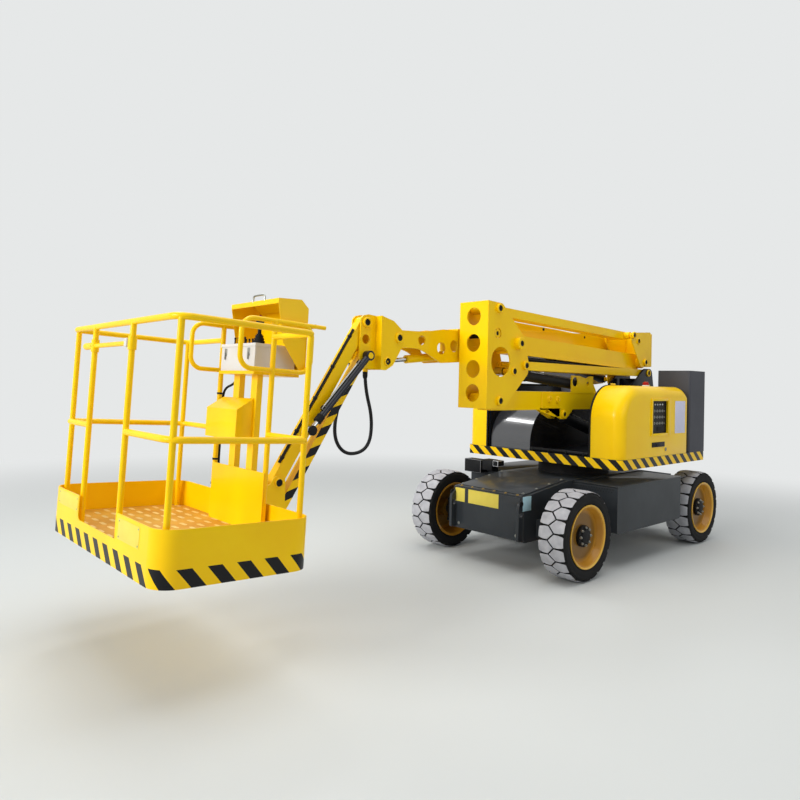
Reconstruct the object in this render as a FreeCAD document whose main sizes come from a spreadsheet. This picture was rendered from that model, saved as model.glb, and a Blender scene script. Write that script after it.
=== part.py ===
import FreeCAD, Part
import math
import os
import re

# Articulating boom lift, in millimetres.
# Origin on the floor under the slew axis, +X towards the platform, +Y to the machine's left, +Z up.

Vector = FreeCAD.Vector
Rotation = FreeCAD.Rotation
doc = FreeCAD.newDocument("boom_lift")

# Driving sizes: alias, value. Lengths in mm, angles in degrees.
SIZES = (
    ("axle_reach", 1042),
    ("wheel_middle", 698),
    ("tyre_radius", 350),
    ("tyre_width", 235),
    ("tyre_shoulder", 30),
    ("rim_radius", 237),
    ("rim_wall", 12),
    ("disc_inset", 62),
    ("disc_gauge", 14),
    ("hub_radius", 82),
    ("stub_radius", 45),
    ("running_gap", 0.3),
    ("king_pin_side", 585),
    ("king_pin_radius", 20),
    ("fork_height", 105),
    ("fork_half", 55),
    ("fork_web_in", 110),
    ("fork_web_out", 62),
    ("stub_reach", 60),
    ("lug_gauge", 25),
    ("axle_depth", 140),
    ("frame_half", 375),
    ("frame_nose", 1285),
    ("frame_belly", 250),
    ("deck_level", 700),
    ("deck_nose_level", 615),
    ("deck_break", 640),
    ("wheel_room", 112),
    ("box_reach", "=axle_reach - tyre_radius - wheel_room"),
    ("box_side", 795),
    ("box_floor", 300),
    ("ear_gauge", 25),
    ("ear_half_span", 372),
    ("tie_hole_radius", 24),
    ("ring_radius", 330),
    ("ring_bore", 245),
    ("ring_depth", 100),
    ("skirt_bottom", 818),
    ("skirt_top", 904),
    ("skirt_front", 536),
    ("skirt_rear", 1124),
    ("skirt_left", 795),
    ("skirt_right", 895),
    ("skirt_gauge", 10),
    ("tower_side", 140),
    ("boom_side", 130),
    ("base_inner", 118),
    ("base_gauge", 16),
    ("plate_gauge", 12),
    ("riser_half", 147),
    ("pin_radius", 22),
    ("arm_length", 2132),
    ("arm_half", 70),
    ("arm_height", 158),
    ("arm_wall", 8),
    ("low_pin_ahead", 1514),
    ("low_pin_level", 1382),
    ("link_pin_back", 327),
    ("link_pin_rise", 290),
    ("link_height", 72),
    ("link_inner", 84),
    ("link_gauge", 20),
    ("arm_pin_ahead", 1287),
    ("arm_pin_level", 1846),
    ("top_pin_ahead", 250),
    ("top_pin_rise", 262),
    ("arm_drop", 66),
    ("top_link_height", 74),
    ("top_link_half", 60),
    ("boom_pin_ahead", 24),
    ("boom_pin_rise", 200),
    ("nose_pin_ahead", 2317),
    ("nose_pin_level", 1835),
    ("boom_half", 75),
    ("boom_height", 190),
    ("boom_wall", 8),
    ("head_length", 757),
    ("head_gap", 93),
    ("inner_half", 60),
    ("inner_height", 156),
    ("head_half", 100),
    ("jib_pin_ahead", 2576),
    ("jib_pin_level", 1932),
    ("jib_pin_drop", 240),
    ("jib_length", 1294),
    ("jib_slope", 57.3),
    ("jib_half", 35),
    ("jib_upper_height", 84),
    ("jib_lower_height", 62),
    ("turn_axis_reach", 195),
    ("turn_barrel_radius", 58),
    ("basket_reach", 543),
    ("basket_drop", 43),
    ("basket_tilt", 2.53),
    ("basket_length", 812),
    ("basket_half", 786),
    ("basket_corner", 110),
    ("toe_height", 261),
    ("toe_gauge", 6),
    ("floor_height", 96),
    ("sill_height", 36),
    ("rail_radius", 16.5),
    ("post_radius", 15.5),
    ("guard_radius", 14),
    ("rail_top", 1201),
    ("rail_middle", 648),
    ("guard_top", 1292),
    ("guard_low", 1012),
    ("rail_inset", 36),
    ("rail_bend", 75),
    ("counter_front", 750),
    ("counter_rear", 1124),
    ("counter_top", 1693),
    ("counter_inner", 470),
    ("hood_top", 1530),
    ("hood_front", 530),
    ("hood_rear", 720),
    ("hood_inner", 492),
    ("hood_side", 792),
    ("hood_gauge", 12),
    ("hood_nose_radius", 300),
    ("right_hood_inner", 640),
    ("right_hood_side", 890),
    ("cover_top", 1330),
    ("cover_front", 500),
)

sheet = doc.addObject("Spreadsheet::Sheet", "Sizes")
for row, (alias, value) in enumerate(SIZES, start=1):
    sheet.set(f"A{row}", alias)
    sheet.set(f"B{row}", str(value))
    sheet.setAlias(f"B{row}", alias)
doc.recompute()


class Reader:
    """Reads a driving size by name, for places that are worked out in code."""

    def __getattr__(self, alias):
        return float(sheet.get(alias))


size = Reader()
ALIASES = {alias for alias, value in SIZES}
finished = []


# Helpers

def bound(item, prop, text):
    """Tie a property to a formula of the sheet's aliases."""
    def named(match):
        return "Sizes." + match[0] if match[0] in ALIASES else match[0]
    item.setExpression(prop, re.sub(r"[a-z_]+", named, str(text)))


def block(name, across_x, across_y, across_z):
    """A box between two limits on each axis; a limit is a number or a formula."""
    item = doc.addObject("Part::Box", name)
    spans = (("Length", "x", across_x), ("Width", "y", across_y), ("Height", "z", across_z))
    for prop, axis, (low, high) in spans:
        bound(item, prop, f"({high}) - ({low})")
        bound(item, "Placement.Base." + axis, low)
    return item


TURNS = {"x": Rotation(Vector(0, 1, 0), 90), "y": Rotation(Vector(1, 0, 0), -90), "z": Rotation()}


def bar(name, axis, radius, span, at):
    """A round bar along an axis between the limits of span; at is its place on the other two."""
    item = doc.addObject("Part::Cylinder", name)
    item.Placement = FreeCAD.Placement(Vector(), TURNS[axis])
    low, high = span
    bound(item, "Radius", radius)
    bound(item, "Height", f"({high}) - ({low})")
    bound(item, "Placement.Base." + axis, low)
    others = [other for other in "xyz" if other != axis]
    for other, place in zip(others, at):
        bound(item, "Placement.Base." + other, place)
    return item


def joined(name, *pieces):
    item = doc.addObject("Part::MultiFuse", name)
    item.Shapes = list(pieces)
    return item


def cut(name, base, *tools):
    item = doc.addObject("Part::Cut", name)
    item.Base = base
    item.Tool = tools[0] if len(tools) == 1 else joined(name + "_tools", *tools)
    return item


def finish(item, label):
    """Names a sub-part, and puts it on the list of files."""
    item.Label = label
    finished.append(item)
    return item


def arc_corner(before, corner, after, radius):
    """The two tangent points and the middle of a rounded corner."""
    into = (before - corner).normalize()
    out = (after - corner).normalize()
    half = into.getAngle(out) / 2
    reach = radius / math.tan(half)
    middle_way = (into + out).normalize()
    centre = corner + middle_way * (radius / math.sin(half))
    return corner + into * reach, centre - middle_way * radius, corner + out * reach


def outline_edges(corners):
    """Edges through corners (a, b) or rounded corners (a, b, radius), closed."""
    points = [Vector(corner[0], corner[1], 0) for corner in corners]
    runs = []
    for index, corner in enumerate(corners):
        here = points[index]
        if len(corner) == 3:
            runs.append(arc_corner(points[index - 1], here, points[(index + 1) % len(points)], corner[2]))
        else:
            runs.append((here,))
    edges = []
    for index, run in enumerate(runs):
        if len(run) == 3:
            edges.append(Part.Arc(*run))
        follower = runs[(index + 1) % len(runs)]
        if (follower[0] - run[-1]).Length > 1e-6:
            edges.append(Part.LineSegment(run[-1], follower[0]))
    return edges


SIDES = (("left", 1), ("right", -1))
ENDS = (("front", 1), ("rear", -1))


def on_side(sign, low, high):
    """The limits low and high, measured outwards from a middle plane, on the side with that sign."""
    return (low, high) if sign > 0 else (f"-({high})", f"-({low})")


def beside(middle, sign, low, high):
    """The same limits, measured from a plane of their own."""
    return tuple(f"{middle} + ({limit})" for limit in on_side(sign, low, high))


PLANES = {"y": ("XZ_Plane", -1), "z": ("XY_Plane", 1), "x": ("YZ_Plane", 1)}


def sketch(body, name, across, level, corners=(), holes=()):
    """A sketch square to the axis called across; holes are (a, b, radius)."""
    role, sign = PLANES[across]
    drawing = body.newObject("Sketcher::SketchObject", name)
    plane = next(item for item in body.Origin.OriginFeatures if item.Role == role)
    drawing.AttachmentSupport = [(plane, "")]
    drawing.MapMode = "FlatFace"
    bound(drawing, "AttachmentOffset.Base.z", f"{sign} * ({level})")
    for edge in outline_edges(corners) if corners else ():
        drawing.addGeometry(edge, False)
    for a, b, radius in holes:
        drawing.addGeometry(Part.Circle(Vector(a, b, 0), Vector(0, 0, 1), radius), False)
    return drawing


def plate(name, across, span, corners, holes=()):
    """A flat piece with an outline square to an axis, between the limits of span."""
    low, high = span
    body = doc.addObject("PartDesign::Body", name)
    start = high if across == "y" else low
    drawing = sketch(body, name + "_outline", across, start, corners, holes)
    pad = body.newObject("PartDesign::Pad", name + "_pad")
    pad.Profile = drawing
    bound(pad, "Length", f"({high}) - ({low})")
    return body


def pocket(body, name, across, span, corners=(), holes=()):
    """Cuts an outline through the body, between the limits of span."""
    low, high = span
    start = low if across == "y" else high
    drawing = sketch(body, name + "_outline", across, start, corners, holes)
    cutting = body.newObject("PartDesign::Pocket", name)
    cutting.Profile = drawing
    bound(cutting, "Length", f"({high}) - ({low})")
    body.Tip = cutting
    return body


def turned(name, corners):
    """A revolved piece about Y: corners are (distance from the axis, place along it)."""
    body = doc.addObject("PartDesign::Body", name)
    drawing = sketch(body, name + "_profile", "z", 0, corners)
    turn = body.newObject("PartDesign::Revolution", name + "_turn")
    turn.Profile = drawing
    turn.ReferenceAxis = (drawing, ["V_Axis"])
    turn.Angle = 360
    return body


def placed(item, base, about_y=0.0):
    """Puts a finished piece at a point, turned about Y; positive lowers its front."""
    item.Placement = FreeCAD.Placement(base, Rotation(Vector(0, 1, 0), about_y))
    return item


def tube(name, points, bends, radius):
    """A bent round tube through points; bends gives the radius of each inner corner."""
    points = [Vector(*point) for point in points]
    edges = []
    here = points[0]
    for index in range(1, len(points) - 1):
        start, middle, end = arc_corner(points[index - 1], points[index], points[index + 1], bends)
        edges.append(Part.LineSegment(here, start).toShape())
        edges.append(Part.Arc(start, middle, end).toShape())
        here = end
    edges.append(Part.LineSegment(here, points[-1]).toShape())
    path = Part.Wire(edges)
    section = Part.Wire(Part.Circle(points[0], points[1] - points[0], radius).toShape())
    item = doc.addObject("Part::Feature", name)
    item.Shape = path.makePipeShell([section], True, False)
    return item


def around(pin, *corners):
    """Corners given from a pin, with their radii."""
    return tuple((pin.x + corner[0], pin.z + corner[1], *corner[2:]) for corner in corners)


# Places worked out from the driving sizes

low_rear = Vector(size.low_pin_ahead - size.arm_length, 0, size.low_pin_level)
link_front = Vector(size.low_pin_ahead - size.link_pin_back, 0, size.low_pin_level + size.link_pin_rise)
link_rear = link_front - Vector(size.arm_length, 0, 0)
low_front = Vector(size.low_pin_ahead, 0, size.low_pin_level)
arm_front = Vector(size.arm_pin_ahead, 0, size.arm_pin_level)
top_front = arm_front + Vector(size.top_pin_ahead, 0, size.top_pin_rise)
arm_run = Vector(-math.sqrt(size.arm_length ** 2 - size.arm_drop ** 2), 0, -size.arm_drop)
arm_rear = arm_front + arm_run
top_rear = top_front + arm_run
arm_tilt = -math.degrees(math.asin(size.arm_drop / size.arm_length))
boom_pivot = arm_rear + Vector(size.boom_pin_ahead, 0, size.boom_pin_rise)
nose_pin = Vector(size.nose_pin_ahead, 0, size.nose_pin_level)
boom_run = nose_pin - boom_pivot
boom_reach = boom_run.Length - size.head_length - size.head_gap
boom_tilt = math.degrees(math.atan2(boom_pivot.z - nose_pin.z, nose_pin.x - boom_pivot.x))
jib_top = Vector(size.jib_pin_ahead, 0, size.jib_pin_level)
jib_low = jib_top - Vector(0, 0, size.jib_pin_drop)
slope = math.radians(size.jib_slope)
jib_run = Vector(math.cos(slope), 0, -math.sin(slope)) * size.jib_length
jib_end_top = jib_top + jib_run
jib_end_low = jib_low + jib_run
turn_axis = jib_end_low.x + size.turn_axis_reach
basket_middle = turn_axis + size.basket_reach
basket_level = jib_end_low.z - size.basket_drop


# Chassis

frame = plate("frame", "y", ("-frame_half", "frame_half"), (
    (-size.frame_nose, size.frame_belly, 30), (size.frame_nose, size.frame_belly, 30),
    (size.frame_nose, size.deck_nose_level), (size.deck_break, size.deck_level),
    (-size.deck_break, size.deck_level), (-size.frame_nose, size.deck_nose_level)))
chassis_parts = [frame]
for side, sign in SIDES:
    chassis_parts.append(plate("side_box_" + side, "y", on_side(sign, "frame_half - 5", "box_side"), (
        (-size.box_reach, size.box_floor, 30), (size.box_reach, size.box_floor, 30),
        (size.box_reach, size.deck_level - 12, 20), (-size.box_reach, size.deck_level - 12, 20))))
    for end, way in ENDS:
        middle = f"{way} * axle_reach"
        reach = "king_pin_side - fork_web_out" if way > 0 else "wheel_middle - 90"
        chassis_parts.append(block(f"axle_{end}_{side}",
                                   (f"{middle} - axle_depth / 2", f"{middle} + axle_depth / 2"),
                                   on_side(sign, 0, reach),
                                   ("tyre_radius - axle_depth / 2", "tyre_radius + axle_depth / 2")))
    fork_ahead = ("axle_reach - fork_half", "axle_reach + fork_half")
    for level, low in (("top", "fork_height - lug_gauge"), ("low", "-fork_height")):
        lug = block(f"fork_{level}_{side}", fork_ahead,
                    on_side(sign, "king_pin_side - fork_web_in", "king_pin_side + 45"),
                    (f"tyre_radius + ({low})", f"tyre_radius + ({low}) + lug_gauge"))
        hole = bar(f"fork_hole_{level}_{side}", "z", "king_pin_radius + running_gap",
                   (f"tyre_radius + ({low}) - 5", f"tyre_radius + ({low}) + lug_gauge + 5"),
                   ("axle_reach", f"{sign} * king_pin_side"))
        chassis_parts.append(cut(f"fork_lug_{level}_{side}", lug, hole))
    web = block(f"fork_web_{side}", fork_ahead,
                on_side(sign, "king_pin_side - fork_web_in", "king_pin_side - fork_web_out"),
                ("tyre_radius - fork_height", "tyre_radius + fork_height"))
    stub = bar(f"rear_stub_{side}", "y", "stub_radius",
               on_side(sign, "wheel_middle - 95", "wheel_middle + stub_reach"),
               ("-axle_reach", "tyre_radius"))
    chassis_parts += [web, stub]
    for end, way in ENDS:
        ear_span = on_side(sign, "ear_half_span - ear_gauge", "ear_half_span")
        chassis_parts.append(plate(f"ear_{end}_{side}", "y", ear_span, (
            (way * (size.frame_nose - 60), 265), (way * (size.frame_nose + 60), 265, 20),
            (way * (size.frame_nose + 60), 560, 60), (way * (size.frame_nose - 60), 610)),
            ((way * (size.frame_nose + 28), 480, size.tie_hole_radius),)))
finish(joined("chassis_whole", *chassis_parts), "chassis")

ring = cut("ring_whole", bar("ring_disc", "z", "ring_radius", ("deck_level", "deck_level + ring_depth"),
                             (0, 0)),
           bar("ring_hole", "z", "ring_bore", ("deck_level - 1", "deck_level + ring_depth + 1"), (0, 0)))
finish(ring, "slew_ring")

# Steered knuckles and wheels

for side, sign in SIDES:
    core = block("knuckle_core_" + side, ("axle_reach - 44", "axle_reach + 44"),
                 on_side(sign, "king_pin_side - 34", "king_pin_side + 48"),
                 ("tyre_radius - fork_height + lug_gauge + 1", "tyre_radius + fork_height - lug_gauge - 1"))
    pin = bar("king_pin_" + side, "z", "king_pin_radius",
              ("tyre_radius - fork_height", "tyre_radius + fork_height"),
              ("axle_reach", f"{sign} * king_pin_side"))
    axle = bar("front_stub_" + side, "y", "stub_radius",
               on_side(sign, "king_pin_side + 40", "wheel_middle + stub_reach"),
               ("axle_reach", "tyre_radius"))
    finish(joined("knuckle_whole_" + side, core, pin, axle), "knuckle_" + side)

# Profiles as (distance from the axle, place along it): a groove runs round the middle of the tread
half_tyre = size.tyre_width / 2
bead = half_tyre - 12
groove_half, groove_depth = 9, 20
shoulder_line = half_tyre - size.tyre_shoulder
tread_corners = (
    (size.rim_radius, -bead), (size.rim_radius + 10, -bead), (size.rim_radius + 45, -half_tyre),
    (size.tyre_radius - size.tyre_shoulder, -half_tyre, 25), (size.tyre_radius, -shoulder_line),
    (size.tyre_radius, -groove_half), (size.tyre_radius - groove_depth, 3 - groove_half),
    (size.tyre_radius - groove_depth, groove_half - 3), (size.tyre_radius, groove_half),
    (size.tyre_radius, shoulder_line), (size.tyre_radius - size.tyre_shoulder, half_tyre, 25),
    (size.rim_radius + 45, half_tyre), (size.rim_radius + 10, bead), (size.rim_radius, bead))
barrel = size.rim_radius - size.rim_wall
lip = size.rim_radius + 8
seat_edge = bead + size.running_gap
disc_outer = half_tyre - size.disc_inset
disc_inner = disc_outer - size.disc_gauge
hub_face, hub_floor = half_tyre - 35, 70
stub_bore = size.stub_radius + size.running_gap
rim_corners = (
    (stub_bore, -40), (size.hub_radius, -40), (size.hub_radius, disc_inner), (barrel - 20, disc_inner),
    (barrel, -bead), (lip, 2 - half_tyre), (lip, -seat_edge), (size.rim_radius, -seat_edge),
    (size.rim_radius, seat_edge), (lip, seat_edge), (lip, half_tyre - 2), (barrel, bead),
    (barrel - 20, disc_outer),
    (size.hub_radius, disc_outer), (size.hub_radius, hub_face, 12), (0, hub_face), (0, hub_floor),
    (stub_bore, hub_floor))
for end, way in ENDS:
    for side, sign in SIDES:
        for kind, corners in (("tyre", tread_corners), ("rim", rim_corners)):
            wheel = turned(f"{kind}_{end}_{side}_body", corners)
            wheel.Placement = FreeCAD.Placement(Vector(), Rotation(Vector(0, 0, 1), 0 if sign > 0 else 180))
            bound(wheel, "Placement.Base.x", f"{way} * axle_reach")
            bound(wheel, "Placement.Base.y", f"{sign} * wheel_middle")
            bound(wheel, "Placement.Base.z", "tyre_radius")
            finish(wheel, f"{kind}_{end}_{side}")


# Turntable, with the tower's base plates

deck = plate("deck", "z", ("skirt_bottom", "skirt_top"), (
    (-size.skirt_rear, -size.skirt_right, 60), (size.skirt_front, -size.skirt_right, 60),
    (size.skirt_front, size.skirt_left, 60), (-size.skirt_rear, size.skirt_left, 60)))
gauge = size.skirt_gauge
pocket(deck, "deck_hollow", "z", ("skirt_bottom", "skirt_top - 14"), (
    (-size.skirt_rear + gauge, -size.skirt_right + gauge, 50),
    (size.skirt_front - gauge, -size.skirt_right + gauge, 50),
    (size.skirt_front - gauge, size.skirt_left - gauge, 50),
    (-size.skirt_rear + gauge, size.skirt_left - gauge, 50)),
    ((0, 0, size.ring_radius),))
spigot = bar("spigot", "z", "ring_bore - running_gap", ("deck_level + 20", "skirt_bottom + 5"), (0, 0))
turntable_parts = [deck, spigot]
base_back = low_rear.x - 477
for side, sign in SIDES:
    turntable_parts.append(plate("base_plate_" + side, "y",
                                 beside("tower_side", sign, "base_inner", "base_inner + base_gauge"), (
        (base_back, size.skirt_top - 2), (low_rear.x + 358, size.skirt_top - 2),
        (low_rear.x + 148, low_rear.z - 132, 120), (low_rear.x + 110, low_rear.z + 95, 60),
        (link_rear.x + 75, link_rear.z + 45, 45), (link_rear.x - 75, link_rear.z + 45, 60),
        (base_back, low_rear.z + 18, 80))))
turntable_parts.append(block("base_back", (base_back, base_back + 16),
                             ("tower_side - base_inner - 2", "tower_side + base_inner + 2"),
                             ("skirt_top - 2", low_rear.z - 2)))
for name, pin in (("low", low_rear), ("link", link_rear)):
    turntable_parts.append(bar(f"base_pin_{name}", "y", "pin_radius",
                               ("tower_side - base_inner - base_gauge - 4",
                                "tower_side + base_inner + base_gauge + 4"),
                               (pin.x, pin.z)))
tower_foot = low_rear + Vector(168, 0, -392)
lift_lug_span = (54, 70)
for side, sign in SIDES:
    turntable_parts.append(plate("foot_lug_" + side, "y", beside("tower_side", sign, *lift_lug_span), (
        (tower_foot.x - 90, size.skirt_top - 2), (tower_foot.x + 90, size.skirt_top - 2),
        (tower_foot.x + 40, tower_foot.z + 42, 38), (tower_foot.x - 40, tower_foot.z + 42, 38))))
turntable_parts.append(bar("foot_pin", "y", "pin_radius", ("tower_side - 74", "tower_side + 74"),
                           (tower_foot.x, tower_foot.z)))
for side, inner, outer in (("left", "hood_inner - 16", "hood_inner - 4"),
                           ("right", "-(right_hood_inner - 4)", "-(right_hood_inner - 16)")):
    turntable_parts.append(plate("hood_wall_" + side, "y", (inner, outer), (
        (-size.hood_rear + 4, size.skirt_top - 2), (size.hood_front - 20, size.skirt_top - 2),
        (size.hood_front - 20, size.hood_top - 16, size.hood_nose_radius),
        (-size.hood_rear + 4, size.hood_top - 16, 40))))
# Each hood turns on two pins along its top inner edge, held by lugs on the wall.
hinge_level = size.hood_top + 6
hinge_side = {"left": size.hood_inner - 6, "right": 6 - size.right_hood_inner}
hinge_spans = ((-560, -440), (90, 210))
hinge_pin, hinge_sleeve, hinge_lug = 7, 12, 18
for side, sign in SIDES:
    edges = sorted((hinge_side[side] - sign * 10, hinge_side[side] + sign * 5))
    for index, (low, high) in enumerate(hinge_spans):
        turntable_parts.append(bar(f"hinge_pin_{side}_{index}", "x", hinge_pin, (low, high),
                                   (hinge_side[side], hinge_level)))
        for end, start in (("rear", low), ("front", high - hinge_lug)):
            turntable_parts.append(block(f"hinge_lug_{side}_{index}_{end}", (start, start + hinge_lug), edges,
                                         (size.hood_top - 30, hinge_level + hinge_sleeve)))
finish(joined("turntable_whole", *turntable_parts), "turntable")

# Counterweights and the blocks under the hoods

for side, inner, outer in (("left", size.counter_inner, size.skirt_left),
                           ("right", -size.skirt_right, -size.counter_inner)):
    finish(plate("counter_" + side, "z", ("skirt_top + running_gap", "counter_top"), (
        (-size.counter_rear, inner, 50), (-size.counter_front, inner, 20), (-size.counter_front, outer, 20),
        (-size.counter_rear, outer, 50))), "counterweight_" + side)
pack_reach, pack_levels = (-640, 200), ("skirt_top + running_gap", 1240)
for side, span in (("left", ("hood_inner + 30", "hood_side - 40")),
                   ("right", ("40 - right_hood_side", "-30 - right_hood_inner"))):
    finish(block("pack_block_" + side, pack_reach, span, pack_levels), "battery_pack_" + side)


# Hoods: hollow shells, open to the inside and below

def hood(side, inner, outer, sign):
    reach = (-size.hood_rear, size.hood_front)
    low, high = (inner, outer) if sign > 0 else (-outer, -inner)
    gauge = size.hood_gauge

    def profile(inset):
        foot = size.skirt_top + (size.running_gap if inset == 0 else -20)
        return ((reach[0] + inset, foot), (reach[1] - inset, foot),
                (reach[1] - inset, size.hood_top - inset, size.hood_nose_radius - inset),
                (reach[0] + inset, size.hood_top - inset, 60 - inset))
    shell = plate("hood_shell_" + side, "y", (low, high), profile(0))
    hollow = (low - 10, high - gauge) if sign > 0 else (low + gauge, high + 10)
    pocket(shell, "hood_hollow_" + side, "y", hollow, profile(gauge))
    return shell


left_hood = hood("left", size.hood_inner, size.hood_side, 1)
window = block("control_window", (-290, 0), ("hood_side - 40", "hood_side + 5"), (1110, 1400))
right_hood = hood("right", size.right_hood_inner, size.right_hood_side, -1)
for side, shell, openings in (("left", left_hood, [window]), ("right", right_hood, [])):
    sleeves = []
    bores = []
    for index, (low, high) in enumerate(hinge_spans):
        at = (hinge_side[side], hinge_level)
        sleeves.append(bar(f"hinge_sleeve_{side}_{index}", "x", hinge_sleeve,
                           (low + hinge_lug + 2, high - hinge_lug - 2), at))
        bores.append(bar(f"hinge_bore_{side}_{index}", "x", hinge_pin + size.running_gap, (low, high), at))
    finish(cut(f"hood_{side}_cut", joined(f"hood_{side}_solid", shell, *sleeves), *bores, *openings),
           "hood_" + side)
controls_span = ("hood_side - 40 + running_gap", "hood_side - 14")
finish(block("ground_controls_block", (-320, 30), controls_span, (1080, 1430)), "ground_controls")

cover_foot = size.skirt_top + size.running_gap
cover_corners = (
    (-size.hood_rear, cover_foot), (size.cover_front, cover_foot),
    (size.cover_front, size.cover_top, size.cover_top - size.skirt_top - 60),
    (-size.hood_rear, size.cover_top, 40))
finish(plate("inner_cover_body", "y", ("-(right_hood_inner - 24)", "-150"), cover_corners), "inner_cover")


# Tower

def straight_arm(name, start, run, half, height, wall, boss_half, boss_radius):
    """A box tube between two pins, with a boss and a bore round each."""
    length = run.Length
    back = -1 if run.x < 0 else 1
    lengths = sorted((0, back * length))
    tube = block(name + "_tube", lengths, (-half, half), (-height / 2, height / 2))
    solid = joined(name + "_solid", tube,
                   *(bar(f"{name}_boss_{index}", "y", boss_radius, (-boss_half, boss_half), (place, 0))
                     for index, place in enumerate(lengths)))
    inside = block(name + "_inside", (lengths[0] + boss_radius, lengths[1] - boss_radius),
                   (-half + wall, half - wall), (-height / 2 + wall, height / 2 - wall))
    bores = [bar(f"{name}_bore_{index}", "y", "pin_radius + running_gap", (-boss_half - 2, boss_half + 2),
                 (place, 0))
             for index, place in enumerate(lengths)]
    return cut(name + "_whole", solid, inside, *bores)


def at_side(item, start, side, about_y=0.0):
    return placed(item, Vector(start.x, side, start.z), about_y)


lower = straight_arm("lower_arm", low_front, Vector(-size.arm_length, 0, 0), size.arm_half, size.arm_height,
                     size.arm_wall, size.base_inner - 4, 60)
lift_lug = Vector(-1016, 0, -123)
lugs = []
for side, sign in SIDES:
    lugs.append(plate("lift_lug_" + side, "y", on_side(sign, *lift_lug_span), (
        (lift_lug.x - 30, -70), (lift_lug.x - 150, -78), (lift_lug.x - 42, lift_lug.z - 42, 38),
        (lift_lug.x + 42, lift_lug.z - 42, 38), (lift_lug.x + 250, -78), (lift_lug.x + 250, -70))))
riser_lug = Vector(-1470, 0, 130)
for side, sign in SIDES:
    lugs.append(plate("riser_lug_" + side, "y", on_side(sign, 50, 64), (
        (riser_lug.x - 110, 70), (riser_lug.x + 110, 70), (riser_lug.x + 38, riser_lug.z + 38, 34),
        (riser_lug.x - 38, riser_lug.z + 38, 34))))
lugs.append(bar("riser_lug_pin", "y", "pin_radius", (-68, 68), (riser_lug.x, riser_lug.z)))
finish(at_side(joined("lower_arm_all", lower, *lugs), low_front, size.tower_side), "lower_arm")

bars = []
link_half = size.link_height / 2
link_eye = link_half - 2
for side, sign in SIDES:
    bars.append(plate("lower_link_bar_" + side, "y", on_side(sign, "link_inner", "link_inner + link_gauge"), (
        (-size.arm_length - link_half, -link_half, link_eye), (link_half, -link_half, link_eye),
        (link_half, link_half, link_eye), (-size.arm_length - link_half, link_half, link_eye)),
        ((0, 0, size.pin_radius + size.running_gap),
         (-size.arm_length, 0, size.pin_radius + size.running_gap))))
spacers = [block(f"lower_link_spacer_{index}", span, (-size.link_inner - 5, size.link_inner + 5), (-16, 16))
           for index, span in enumerate(((-2000, -1900), (-1500, -1400)))]
finish(at_side(joined("lower_link_all", *spacers, *bars), link_front, size.tower_side), "lower_link")

riser_face = low_front.x + 151
riser_corners = (
    (riser_face, low_front.z - 62), (riser_face, top_front.z + 52), (top_front.x - 47, top_front.z + 44, 60),
    (arm_front.x - 82, arm_front.z + 59, 60), (link_front.x - 57, link_front.z + 3, 40),
    (link_front.x - 37, link_front.z - 72, 30), (low_front.x - 59, low_front.z - 62, 30))
riser_holes = ((low_front.x - 14, low_front.z + 308, 118), (top_front.x + 5, top_front.z - 196, 42))
riser_parts = []
for side, sign in SIDES:
    riser_parts.append(plate("front_riser_" + side, "y",
                             beside("tower_side", sign, "riser_half - plate_gauge", "riser_half"),
                             riser_corners, riser_holes))
front_face = plate("front_face", "x", (riser_face - size.plate_gauge, riser_face), (
    (size.tower_side - size.riser_half, low_front.z - 62),
    (size.tower_side + size.riser_half, low_front.z - 62),
    (size.tower_side + size.riser_half, top_front.z + 52),
    (size.tower_side - size.riser_half, top_front.z + 52)),
    tuple((size.tower_side, low_front.z + rise, 70) for rise in (660, 451, 246, 57)))
riser_parts.append(front_face)
riser_pin = ("tower_side - riser_half - 3", "tower_side + riser_half + 3")
for name, pin in (("low", low_front), ("link", link_front), ("arm", arm_front), ("top", top_front)):
    riser_parts.append(bar("riser_pin_" + name, "y", "pin_radius", riser_pin, (pin.x, pin.z)))
riser_eye = low_front + Vector(-184, 0, 238)
for side, span in (("left", ("tower_side + 50", "tower_side + riser_half + 3")),
                   ("right", ("tower_side - riser_half - 3", "tower_side - 50"))):
    riser_parts.append(bar("riser_stub_" + side, "y", "pin_radius", span, (riser_eye.x, riser_eye.z)))
finish(joined("front_riser_whole", *riser_parts), "front_riser")

upper = straight_arm("upper_arm", arm_front, arm_run, size.arm_half, size.arm_height, size.arm_wall,
                     size.base_inner - 4, 60)
finish(at_side(upper, arm_front, size.tower_side, arm_tilt), "upper_arm")
top_link = straight_arm("upper_link", top_front, arm_run, size.top_link_half, size.top_link_height, 6,
                        size.base_inner - 4, 36)
finish(at_side(top_link, top_front, size.tower_side, arm_tilt), "upper_link")

rear_corners = (
    (top_rear.x + 49, top_rear.z + 25, 25), (boom_pivot.x - 144, boom_pivot.z + 118, 30),
    (arm_rear.x - 141, arm_rear.z - 42, 30), (arm_rear.x + 81, arm_rear.z - 52, 30),
    (top_rear.x + 34, top_rear.z - 52, 40))
boom_foot = boom_pivot + Vector(100, 0, -380)
boom_plate_corners = (
    (boom_pivot.x + 120, boom_pivot.z + 70, 60), (boom_pivot.x - 144, boom_pivot.z + 118, 30),
    (arm_rear.x - 141, arm_rear.z - 42, 30), (boom_foot.x - 180, boom_foot.z - 40, 40),
    (boom_foot.x + 40, boom_foot.z - 60, 40), (boom_foot.x + 60, boom_foot.z + 100, 40))
tower_left = size.tower_side + size.riser_half
tower_right = size.tower_side - size.riser_half
boom_outer = -size.boom_side - size.boom_half - 6
rear_plates = (
    ("left", tower_left - size.plate_gauge, tower_left, rear_corners),
    ("middle", tower_right, tower_right + size.plate_gauge, rear_corners),
    ("right", boom_outer - size.plate_gauge, boom_outer, boom_plate_corners),
    ("cylinder", -40, -40 + size.plate_gauge, boom_plate_corners))
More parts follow.
